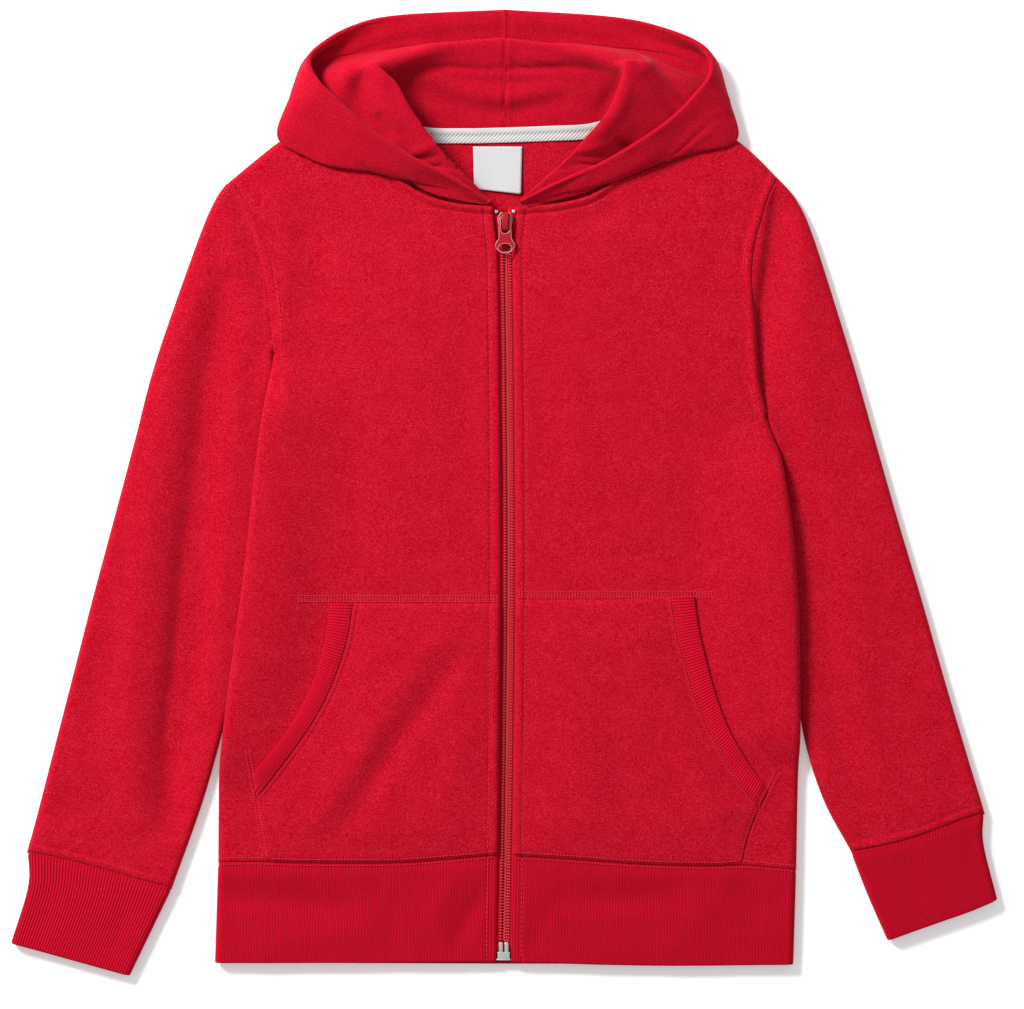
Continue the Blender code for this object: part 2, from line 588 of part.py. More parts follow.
# ---------------------------------------------------------------- sleeves and ribs
def ring_steps():
    """Shares across a flattened tube, over and under, with its folds divided finely."""
    edge = [SLEEVE_FOLD * (1.0 - np.cos(np.radians(angle))) for angle in (0, 30, 60, 90)]
    middle = list(np.linspace(edge[-1], 1.0 - edge[-1], SLEEVE_STEPS + 1))[1:-1]
    top = edge + middle + [1.0 - e for e in edge[::-1]]
    return top, top[-2:0:-1]


def flat_tube(name, plan_at, height_at, folds, wall, finish, rows):
    """A closed tube pressed flat: its top, its rounded folds and its flat underside."""
    top, under = ring_steps()
    grids = []
    for steps, direction in ((top, 1.0), (under, -1.0)):
        a, d = np.meshgrid(steps, rows)
        plan = plan_at(a, d)
        height = height_at(a, d)
        gap = np.minimum(distance_to(folds[0], plan), distance_to(folds[1], plan))
        gap[(a < 1e-9) | (a > 1.0 - 1e-9)] = 0.0
        z = height / 2 + direction * rise(gap, height)
        grids.append(np.dstack([plan, z]))
    grid = np.hstack(grids)
    centre = grid.reshape(-1, 3).mean(axis=0)
    return cloth(name, grid, wall, finish, centre, closed=True)


def sleeve(side):
    """One sleeve, from the armhole to the cuff seam."""
    def plan_at(a, d):
        return patch(side.sleeve_top, side.sleeve_end, side.sleeve_outer, side.sleeve_inner,
                     a, d, fade=ARMHOLE_FADE)

    def height_at(a, d):
        inner = along(side.sleeve_inner, d)[..., 2]
        return BODY_HEIGHT + (inner - BODY_HEIGHT) * ease((a - 0.45) / 0.35)

    rows = [0.0, 0.03] + list(np.linspace(0.08, 1.0, 12))
    return flat_tube("sleeve_" + side.name, plan_at, height_at,
                     (side.sleeve_outer, side.sleeve_inner), FLEECE, FLEECE_FINISH, rows)


def cuff(side):
    """One rib cuff, from its seam to its open end."""
    rows = CUFF[side.name]
    drop = np.array([side.sign * SLEEVE_SHIFT, -CUFF_GAP])
    seam = line([(row.seam_x, row.seam_y) for row in rows]) + drop
    middle = line([(row.middle_x, row.middle_y) for row in rows])
    end = line([(row.end_x, row.end_y) for row in rows])
    outer = line([seam[0], middle[0], end[0]])
    inner = line([seam[-1], middle[-1], end[-1]])

    def plan_at(a, d):
        return patch(seam, end, outer, inner, a, d)

    def height_at(a, d):
        return np.full(a.shape, CUFF_HEIGHT)

    return flat_tube("cuff_" + side.name, plan_at, height_at, (outer, inner), RIB, RIB_FINISH,
                     np.linspace(0.0, 1.0, 5))


def waistband(right, left):
    """The rib round the hem, from one zip edge round the back to the other."""
    height = BODY_HEIGHT
    edge = [height / 2 * (1.0 - np.cos(np.radians(angle))) for angle in (0, 30, 60, 90)]
    rows = np.linspace(0.0, 1.0, 5)
    columns = []
    for side, front_steps in ((right, 8), (left, 8)):
        seam = side.hem_seam + np.array([0.0, -SEAM_GAP])
        seam[0, 0] = side.zip_edge(seam[0, 1], seam[0, 1])[0, 0]
        end = side.hem_edge.copy()
        end[0, 0] = side.zip_edge(end[0, 1], end[0, 1])[0, 0]
        width = abs(seam[-1, 0] - seam[0, 0])
        front = list(np.linspace(0.0, 1.0 - edge[-1] / width, front_steps))
        front += [1.0 - e / width for e in edge[-2::-1]]
        half = []
        for share in front:
            above = along(seam, share)
            below = along(end, share)
            inset = (1.0 - share) * width
            z = height / 2 + rise(np.array(inset), height)
            half.append([(*(above + (below - above) * row), z) for row in rows])
        columns.append(half)
    right_front, left_front = columns
    right_end = np.array(right_front[-1])
    left_end = np.array(left_front[-1])
    width = left_end[0, 0] - right_end[0, 0]
    under = ([e / width for e in edge[1:]] + list(np.linspace(edge[-1] / width,
             1.0 - edge[-1] / width, 13))[1:-1] + [1.0 - e / width for e in edge[:0:-1]])
    back = []
    for share in under:
        plan = right_end + (left_end - right_end) * share
        inset = min(share, 1.0 - share) * width
        plan[:, 2] = height / 2 - rise(np.array(inset), height)
        back.append(plan)
    strip = [np.array(column) for column in right_front] + back
    strip += [np.array(column) for column in left_front[::-1]]
    grid = np.array(strip)
    centre = (0.0, -255.0, height / 2)
    return cloth("waistband", grid, RIB, RIB_FINISH, centre)


# ---------------------------------------------------------------- pockets
def pocket(side):
    """One half of the kangaroo pocket, on its front, with the rib that binds its mouth."""
    mouth = POCKET_MOUTH[side.name]
    sign = side.sign
    base = BODY_HEIGHT + SEAM_GAP
    top_y = POCKET_TOP[side.name]
    hem_y = side.hem_seam[0, 1] + SEAM_GAP + 0.2
    zip_line = side.zip_edge(top_y, hem_y)
    inner = [(row.inner_x - sign * SEAM_GAP, row.inner_y) for row in mouth]
    mouth_side = line(inner, [inner[-1], *POCKET_SIDE[side.name][1:]])
    top = line([tuple(zip_line[0]), ((zip_line[0, 0] + inner[0][0]) / 2, top_y), inner[0]])
    low_corner = POCKET_SIDE[side.name][-1]
    xs = np.linspace(zip_line[-1, 0], low_corner.x, 25)
    seam_y = np.interp(sign * xs, sign * side.hem_seam[:, 0], side.hem_seam[:, 1])
    bottom = np.stack([xs, seam_y + SEAM_GAP + 0.2], axis=-1)
    bottom[0], bottom[-1] = zip_line[-1], low_corner
    a, d = np.meshgrid(np.linspace(0.0, 1.0, 9), np.linspace(0.0, 1.0, 11))
    plan = patch(top, bottom, zip_line, mouth_side, a, d)
    puff = POCKET_RISE * ease(4.0 * a * (1.0 - a)) * ease(4.0 * d * (1.0 - d))
    grid = np.dstack([plan, base + FLEECE + puff])
    cloth("pocket_" + side.name, grid, FLEECE, FLEECE_FINISH, BELOW)

    outer_line = line([(row.outer_x, row.outer_y) for row in mouth])
    inner_line = line([(row.inner_x, row.inner_y) for row in mouth])
    a, d = np.meshgrid((0.0, 0.14, 0.5, 0.86, 1.0), np.linspace(0.0, 1.0, 13))
    plan = ((1 - a[..., None]) * along(outer_line, d) + a[..., None] * along(inner_line, d))
    crown = 0.8 * np.sqrt(np.clip(4.0 * a * (1.0 - a), 0.0, 1.0))
    grid = np.dstack([plan, base + RIB - 0.6 + crown])
    return cloth("pocket_binding_" + side.name, grid, RIB - 0.6, RIB_FINISH, BELOW)


# ---------------------------------------------------------------- hood
def hood_points(side):
    """Middle of the hood's cloth, a row for each step round the neck."""
    rows = np.array([[*row] for row in HOOD[side.name]])
    profiles = []
    for row in rows:
        dense = smooth_run(row, 60)
        picks = []
        for span, steps in enumerate(HOOD_SPAN_STEPS):
            picks += [span * 60 + int(round(60 * k / steps)) for k in range(steps)]
        profiles.append(dense[picks + [len(dense) - 1]])
    profiles = np.array(profiles)
    columns = [smooth_run(profiles[:, k], HOOD_ROUND_STEPS) for k in range(profiles.shape[1])]
    points = np.stack(columns, axis=1)
    points[..., 2] = np.maximum(points[..., 2], HOOD_CLOTH / 2)
    points[-1, :, 0] = side.sign * SEAM_GAP
    return points


def hood(side):
    points = hood_points(side)
    return cloth("hood_" + side.name, points, HOOD_CLOTH, FLEECE_FINISH, ABOVE, offset=0.0)


# ---------------------------------------------------------------- neck tape and label
def neck_tape():
    """Tape over the back neck seam, on the hood above it and on the back below it."""
    back_neck = np.vstack([line(BACK_NECK["right"]), line(BACK_NECK["left"])[::-1][1:]])
    xs = np.linspace(TAPE_START, TAPE_END, 15)
    seam_y = np.interp(xs, back_neck[:, 0], back_neck[:, 1])
    inner_face = FLEECE + SEAM_GAP + TAPE_THICKNESS
    slope = 0.32
    grid = []
    for offset, lift in ((TAPE_ABOVE_SEAM, TAPE_ABOVE_SEAM * slope + 0.5), (0.0, 0.3),
                         (-TAPE_BELOW_SEAM, 0.0)):
        grid.append(np.stack([xs, seam_y + offset, np.full(xs.shape, inner_face + lift)], axis=-1))
    return cloth("neck_tape", np.array(grid), TAPE_THICKNESS, TAPE_FINISH, BELOW)


def neck_label():
    """Bare woven label that hangs from the tape onto the back."""
    xs = LABEL_MIDDLE_X + np.linspace(-0.5, 0.5, 5) * LABEL_WIDTH
    ys = np.linspace(LABEL_TOP, LABEL_BOTTOM, 4)
    x, y = np.meshgrid(xs, ys)
    z = np.full(x.shape, FLEECE + SEAM_GAP + LABEL_THICKNESS)
    return cloth("neck_label", np.dstack([x, y, z]), LABEL_THICKNESS, LABEL_FINISH, BELOW)


# ---------------------------------------------------------------- zip
def zip_strip(name, ys, inner, outer, top_z, thickness, finish):
    """A strip that follows the middle of the zip, between two distances from it."""
    middle = line(ZIP_LINE)
    xs = np.interp(-ys, -middle[:, 1], middle[:, 0])
    shares = np.linspace(0.0, 1.0, 3)
    shift = inner[:, None] + (outer - inner[:, None]) * shares
    grid = np.dstack([xs[:, None] + shift, ys[:, None] + 0.0 * shift, top_z + 0.0 * shift])
    return cloth(name, grid, thickness, finish, BELOW)


def zip_tapes(neck_y):
    """Both tapes. They part round the slider's post, above the closed chain."""
    ys = np.append(np.linspace(neck_y - 0.4, SLIDER_TOP_Y - SLIDER_LENGTH, 6),
                   np.linspace(SLIDER_TOP_Y - SLIDER_LENGTH, ZIP_BOX_TOP_Y + 0.4, 12)[1:])
    spread = TAPE_SPREAD * ease((ys - SLIDER_TOP_Y + SLIDER_LENGTH) / 6.5)
    for side_name, sign in SIDES.items():
        zip_strip("zip_tape_" + side_name, ys, sign * (TAPE_SPLIT + spread),
                  sign * TAPE_HALF_WIDTH, TAPE_UNDERSIDE + TAPE_CLOTH, TAPE_CLOTH,
                  ZIP_CLOTH_FINISH)


def zip_chain():
    start_y = SLIDER_TOP_Y - SLIDER_POST_LENGTH - 1.2
    end_y = ZIP_BOX_TOP_Y + ZIP_PIN_LENGTH + 0.3
    ys = np.linspace(start_y, end_y, 12)
    return zip_strip("zip_chain", ys, np.full(ys.shape, -CHAIN_HALF_WIDTH), CHAIN_HALF_WIDTH,
                     CHAIN_UNDERSIDE + CHAIN_HEIGHT, CHAIN_HEIGHT, CHAIN_FINISH)


def block(size, centre):
    """A box as a mesh, with its place in its points."""
    bm = bmesh.new()
    bmesh.ops.create_cube(bm, size=1.0)
    bmesh.ops.scale(bm, vec=[length * MM for length in size], verts=bm.verts)
    bmesh.ops.translate(bm, vec=[value * MM for value in centre], verts=bm.verts)
    mesh = bpy.data.meshes.new("block")
    bm.to_mesh(mesh)
    bm.free()
    return mesh


def plate(outline, z, thickness):
    """A flat outline extruded, lying at a height."""
    curve = bpy.data.curves.new("plate", "CURVE")
    curve.dimensions = "2D"
    curve.fill_mode = "BOTH"
    curve.extrude = thickness / 2 * MM
    for loop in outline:
        spline = curve.splines.new("POLY")
        spline.points.add(len(loop) - 1)
        for point, (x, y) in zip(spline.points, loop):
            point.co = (x * MM, y * MM, 0.0, 1.0)
        spline.use_cyclic_u = True
    holder = bpy.data.objects.new("plate", curve)
    PARTS.objects.link(holder)
    bpy.context.view_layer.update()
    depsgraph = bpy.context.evaluated_depsgraph_get()
    mesh = bpy.data.meshes.new_from_object(holder.evaluated_get(depsgraph))
    bpy.data.objects.remove(holder)
    bm = bmesh.new()
    bm.from_mesh(mesh)
    bmesh.ops.remove_doubles(bm, verts=bm.verts, dist=0.00001)
    bmesh.ops.translate(bm, vec=(0.0, 0.0, (z + thickness / 2) * MM), verts=bm.verts)
    bmesh.ops.recalc_face_normals(bm, faces=bm.faces)
    bm.to_mesh(mesh)
    bm.free()
    return mesh


def fused(name, meshes, finish):
    """One object from several overlapping closed meshes."""
    body = link(bpy.data.objects.new(name, meshes[0]), finish)
    for number, mesh in enumerate(meshes[1:]):
        tool = bpy.data.objects.new(f"{name}_add_{number}", mesh)
        tool.hide_render = True
        tool.display_type = "WIRE"
        CUTTERS.objects.link(tool)
        join = body.modifiers.new("Add", "BOOLEAN")
        join.operation = "UNION"
        join.solver = "EXACT"
        join.object = tool
    return body


def zip_middle(y):
    middle = line(ZIP_LINE)
    return float(np.interp(-y, -middle[:, 1], middle[:, 0]))


def zip_slider():
    """The slider: two plates joined by a post between the tapes, and the pull's bridge."""
    middle = zip_middle(PULL_AXIS_Y)
    low_y = SLIDER_TOP_Y - SLIDER_LENGTH
    wide = SLIDER_HALF_WIDTH
    neck = SLIDER_NECK_HALF_WIDTH
    shield = [(middle - 2.4, SLIDER_TOP_Y), (middle + 2.4, SLIDER_TOP_Y),
              (middle + wide, SLIDER_TOP_Y - 4.0), (middle + neck + 0.3, SLIDER_TOP_Y - 8.0),
              (middle + neck, low_y), (middle - neck, low_y),
              (middle - neck - 0.3, SLIDER_TOP_Y - 8.0), (middle - wide, SLIDER_TOP_Y - 4.0)]
    pieces = [
        plate([shield], SLIDER_PLATE_TOP - SLIDER_PLATE, SLIDER_PLATE),
        plate([shield], SLIDER_BASE_UNDERSIDE, SLIDER_BASE),
    ]
    post_y = SLIDER_TOP_Y - 0.4 - SLIDER_POST_LENGTH / 2
    post_low = SLIDER_BASE_UNDERSIDE + 0.4
    post_high = SLIDER_PLATE_TOP - 0.4
    pieces.append(block((2 * SLIDER_POST_HALF_WIDTH, SLIDER_POST_LENGTH, post_high - post_low),
                        (middle, post_y, (post_low + post_high) / 2)))
    foot_z = SLIDER_PLATE_TOP - 0.5
    opening_top = SLIDER_PLATE_TOP + BRIDGE_OPENING
    bridge_low = BRIDGE_TOP_Y - BRIDGE_LENGTH
    for foot_y in (BRIDGE_TOP_Y - BRIDGE_BAR / 2, bridge_low + BRIDGE_BAR / 2):
        foot_height = opening_top + 0.2 - foot_z
        pieces.append(block((2 * BRIDGE_HALF_WIDTH, BRIDGE_BAR, foot_height),
                            (middle, foot_y, foot_z + foot_height / 2)))
    pieces.append(block((2 * BRIDGE_HALF_WIDTH - 0.02, BRIDGE_LENGTH - 0.02, BRIDGE_BAR),
                        (middle, (BRIDGE_TOP_Y + bridge_low) / 2, opening_top + BRIDGE_BAR / 2)))
    return fused("zip_slider", pieces, PAINT_FINISH)


def zip_pull():
    """The pull tab, with a window round the bridge and a hole at its broad end."""
    middle = zip_middle(PULL_AXIS_Y)
    right_half = smooth_run([(0.0, 0.95), (2.6, 0.75), (3.9, -1.6), (3.9, -9.0), (4.1, -15.0),
                             (5.4, -17.6), (6.1, -20.4), (5.0, -23.4), (2.6, -25.2),
                             (0.0, -25.6)], 4)
    scale = (PULL_LENGTH - PULL_BAR / 2) / 25.6
    right_half[:, 1] *= scale
    right_half[0, 1] = PULL_BAR / 2
    outer = [*map(tuple, right_half), *[(-x, y) for x, y in right_half[-2:0:-1]]]
    window_low = -PULL_BAR / 2 - PULL_WINDOW_LENGTH
    half = PULL_WINDOW_HALF_WIDTH
    window = [(half, -PULL_BAR / 2), (half, window_low + half)]
    window += [(half * np.cos(angle), window_low + half + half * np.sin(angle))
               for angle in np.linspace(0.0, -np.pi, 9)[1:-1]]
    window += [(-half, window_low + half), (-half, -PULL_BAR / 2)]
    hole = [(PULL_HOLE_HALF_WIDTH * np.cos(angle),
             -PULL_HOLE_DISTANCE + PULL_HOLE_HALF_HEIGHT * np.sin(angle))
            for angle in np.linspace(0.0, -2 * np.pi, 21)[:-1]]
    mesh = plate([outer, window, hole], -PULL_THICKNESS / 2, PULL_THICKNESS)
    pull = bpy.data.objects.new("zip_pull", mesh)
    pull.location = (middle * MM, PULL_AXIS_Y * MM, PULL_AXIS_Z * MM)
    return link(pull, PAINT_FINISH)


def zip_box():
    """The box at the foot of the zip, with the two pins that stand in it."""
    middle = zip_middle(ZIP_BOX_TOP_Y)
    height = ZIP_BOX_TOP - ZIP_BOX_UNDERSIDE
    pieces = [block((2 * ZIP_BOX_HALF_WIDTH, ZIP_BOX_LENGTH, height),
                    (middle, ZIP_BOX_TOP_Y - ZIP_BOX_LENGTH / 2, ZIP_BOX_UNDERSIDE + height / 2))]
    pin_height = ZIP_BOX_TOP - 0.2 - CHAIN_UNDERSIDE
    for sign in SIDES.values():
        pieces.append(block((2 * ZIP_PIN_HALF_WIDTH, ZIP_PIN_LENGTH, pin_height),
                            (middle + sign * ZIP_PIN_SPACING / 2,
                             ZIP_BOX_TOP_Y + ZIP_PIN_LENGTH / 2 - 0.5,
                             CHAIN_UNDERSIDE + pin_height / 2)))
    return fused("zip_bottom_stop", pieces, STEEL_FINISH)


def zip_top_stops():
    for side_name, sign in SIDES.items():
        middle = zip_middle(TOP_STOP_Y)
        mesh = block(TOP_STOP_SIZE, (0.0, 0.0, 0.0))
        stop = bpy.data.objects.new("zip_top_stop_" + side_name, mesh)
        place = (middle + sign * TOP_STOP_OFFSET, TOP_STOP_Y, TOP_STOP_Z)
        stop.matrix_world = Matrix.Translation([value * MM for value in place])
        bevel = stop.modifiers.new("Rounded", "BEVEL")
        bevel.width = 0.35 * MM
        bevel.segments = 2
        link(stop, STEEL_FINISH)


# ---------------------------------------------------------------- the garment
for old in list(bpy.data.objects):
    bpy.data.objects.remove(old, do_unlink=True)
PARTS = bpy.data.collections.new("kids_hoodie")
CUTTERS = bpy.data.collections.new("cutters")
for collection in (PARTS, CUTTERS):
    bpy.context.scene.collection.children.link(collection)

right_side = Side("right")
left_side = Side("left")
back_panel(right_side, left_side)
waistband(right_side, left_side)
for half in (right_side, left_side):
    front_panel(half)
    sleeve(half)
    cuff(half)
    pocket(half)
    hood(half)
neck_tape()
neck_label()
zip_tapes(right_side.neck[0, 1])
zip_chain()
zip_slider()
zip_pull()
zip_box()
zip_top_stops()
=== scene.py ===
import math

import bmesh
import bpy
import numpy as np
from mathutils import Matrix


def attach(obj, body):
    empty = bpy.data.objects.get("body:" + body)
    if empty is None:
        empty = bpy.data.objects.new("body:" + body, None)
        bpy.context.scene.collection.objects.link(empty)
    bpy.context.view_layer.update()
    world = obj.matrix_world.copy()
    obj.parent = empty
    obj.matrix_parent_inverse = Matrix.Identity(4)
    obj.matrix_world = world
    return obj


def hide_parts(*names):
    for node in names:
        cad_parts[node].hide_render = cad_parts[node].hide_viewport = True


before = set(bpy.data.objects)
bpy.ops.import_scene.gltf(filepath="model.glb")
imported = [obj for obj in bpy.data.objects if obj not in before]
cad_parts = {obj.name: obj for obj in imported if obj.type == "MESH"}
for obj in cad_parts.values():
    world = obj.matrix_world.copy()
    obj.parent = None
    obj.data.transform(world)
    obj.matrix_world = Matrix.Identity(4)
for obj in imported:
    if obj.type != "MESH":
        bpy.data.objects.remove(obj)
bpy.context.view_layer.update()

body = "garment"
mm = 0.001

# Outlines, in millimetres.
# Sides are the wearer's. Each line runs the way its comment says.
signs = {"right": -1.0, "left": 1.0}

# From the zip to the shoulder.
frontNeck = {
    "right": [(-9.0, 174.5), (-30.5, 176.5), (-51.0, 182.5), (-69.0, 196.5), (-79.0, 214.0),
              (-82.5, 228.0), (-85.5, 239.0)],
    "left": [(10.5, 174.5), (32.5, 176.5), (54.5, 182.5), (71.0, 196.5), (79.5, 214.0),
             (82.5, 228.0), (85.0, 239.0)],
}
# From the shoulder to the middle of the back.
backNeck = {
    "right": [(-85.5, 239.0), (-70.0, 226.5), (-49.5, 218.5), (-24.5, 217.5), (0.0, 218.0)],
    "left": [(85.0, 239.0), (70.0, 227.0), (52.0, 220.5), (27.5, 219.0), (0.0, 218.0)],
}
# From the neck to the sleeve.
shoulderSeam = {
    "right": [(-85.5, 239.0), (-102.0, 233.0), (-119.0, 225.5), (-136.5, 215.0),
              (-152.0, 203.0), (-170.0, 188.0)],
    "left": [(85.0, 239.0), (104.0, 233.3), (125.0, 225.0), (141.5, 215.0), (155.0, 203.5),
             (166.0, 192.0)],
}
# From the shoulder down to the side fold.
armholeSeam = {
    "right": [(-170.0, 188.0), (-163.0, 177.0), (-156.0, 165.0), (-152.0, 154.0),
              (-148.0, 142.0), (-145.0, 127.0), (-142.5, 109.5), (-141.0, 85.5)],
    "left": [(166.0, 192.0), (161.0, 181.0), (157.0, 168.5), (152.5, 152.0), (150.5, 135.5),
             (151.0, 117.5), (152.3, 99.0), (154.5, 67.5), (160.0, 45.5)],
}
# From the armhole to the waistband.
sideFold = {
    "right": [(-141.0, 85.5), (-144.0, 68.5), (-148.0, 47.5), (-152.0, 17.0),
              (-159.0, -47.5), (-168.0, -114.5), (-172.5, -151.0), (-174.5, -175.5),
              (-175.0, -224.8)],
    "left": [(160.0, 45.5), (164.8, 31.4), (168.8, 20.0), (174.8, -17.0), (178.8, -65.5),
             (180.0, -126.5), (180.0, -151.0), (178.8, -175.5), (177.8, -229.3)],
}
# From the zip to the side.
hemSeam = {
    "right": [(-5.6, -220.5), (-36.0, -223.3), (-70.0, -225.4), (-125.0, -225.4),
              (-150.0, -224.6), (-175.0, -224.8)],
    "left": [(4.6, -221.0), (40.0, -223.2), (85.0, -226.3), (125.0, -227.3),
             (146.0, -226.7), (177.8, -229.3)],
}
hemEdge = {
    "right": [(-5.9, -286.0), (-94.5, -286.8), (-177.0, -287.0)],
    "left": [(4.3, -286.4), (88.5, -288.5), (176.0, -288.0)],
}
# From the neck down to the open end, and half the gap between the fronts beside it.
zipMiddle = [(0.0, 174.5), (0.3, 148.0), (1.2, 80.0), (2.0, -41.0), (1.0, -157.0),
             (-0.6, -262.0), (-0.8, -286.0)]
zipHalfGap = 4.6
zipFlare = 2.2

# Outer fold x, y, then inner fold x, y and the height at the inner fold.
sleeveRows = {
    "right": [
        (-170.0, 188.0, -141.0, 85.5, 8.0), (-176.5, 178.5, -140.5, 76.5, 7.8),
        (-187.0, 154.0, -142.0, 66.5, 7.4), (-212.5, 81.0, -145.5, 47.5, 6.2),
        (-225.5, 32.0, -147.5, 15.0, 5.6), (-238.5, -17.0, -147.0, -17.0, 5.6),
        (-251.5, -65.5, -150.0, -52.0, 5.6), (-264.0, -114.5, -158.0, -98.0, 5.6),
        (-276.5, -163.0, -170.5, -141.0, 6.0), (-286.0, -200.0, -184.0, -188.5, 7.4),
        (-291.0, -218.0, -202.5, -240.5, 7.8),
    ],
    "left": [
        (166.0, 192.0, 160.0, 45.5, 8.0), (177.5, 178.5, 161.5, 39.5, 7.8),
        (188.5, 154.0, 165.0, 30.0, 7.2), (211.5, 81.0, 169.5, 14.0, 6.2),
        (225.5, 32.0, 171.0, -12.0, 5.6), (239.5, -17.0, 170.0, -41.0, 5.6),
        (254.0, -65.5, 172.0, -75.0, 5.6), (268.0, -114.5, 176.5, -112.0, 5.6),
        (282.5, -163.0, 182.5, -151.0, 6.2), (290.0, -187.5, 194.0, -187.5, 7.4),
        (292.0, -194.5, 210.5, -218.5, 7.8),
    ],
}
# Seam x, y, then halfway x, y and open end x, y, from the outer fold to the inner one.
cuffRows = {
    "right": [
        (-291.0, -218.0, -291.0, -240.0, -301.5, -275.0),
        (-272.0, -222.0, -273.0, -247.0, -283.0, -280.0),
        (-248.0, -228.0, -254.0, -253.5, -265.0, -285.0),
        (-224.0, -235.0, -234.0, -260.0, -247.0, -290.0),
        (-202.5, -240.5, -216.0, -268.0, -229.0, -295.0),
    ],
    "left": [
        (292.0, -194.5, 292.0, -214.0, 300.5, -248.5),
        (277.0, -199.5, 277.5, -222.0, 284.0, -255.5),
        (252.0, -209.0, 258.0, -231.0, 267.0, -261.5),
        (232.0, -214.5, 239.0, -238.0, 250.0, -267.5),
        (210.5, -218.5, 221.0, -245.0, 233.5, -273.5),
    ],
}
# Outer edge x, y and inner edge x, y of the binding, from the top of the pocket.
pocketMouth = {
    "right": [
        (-106.5, -67.5, -92.5, -67.5), (-108.6, -84.0, -95.4, -86.5),
        (-112.6, -102.5, -100.6, -105.0), (-119.6, -122.0, -109.0, -125.5),
        (-129.8, -140.5, -120.0, -144.8), (-142.3, -158.0, -134.0, -164.0),
        (-154.5, -171.8, -151.8, -187.0),
    ],
    "left": [
        (115.3, -63.0, 101.0, -63.5), (117.9, -82.0, 104.3, -84.0),
        (122.3, -101.0, 109.4, -103.5), (128.8, -124.5, 117.0, -128.5),
        (137.3, -146.0, 127.4, -151.0), (149.2, -166.0, 140.6, -174.0),
        (160.2, -180.8, 154.8, -192.0),
    ],
}
pocketSide = {
    "right": [(-151.8, -187.0), (-149.8, -201.0), (-147.9, -213.0), (-146.2, -224.0)],
    "left": [(154.8, -192.0), (150.6, -202.0), (147.2, -212.5), (144.3, -225.8)],
}
pocketTopY = {"right": -67.5, "left": -65.5}

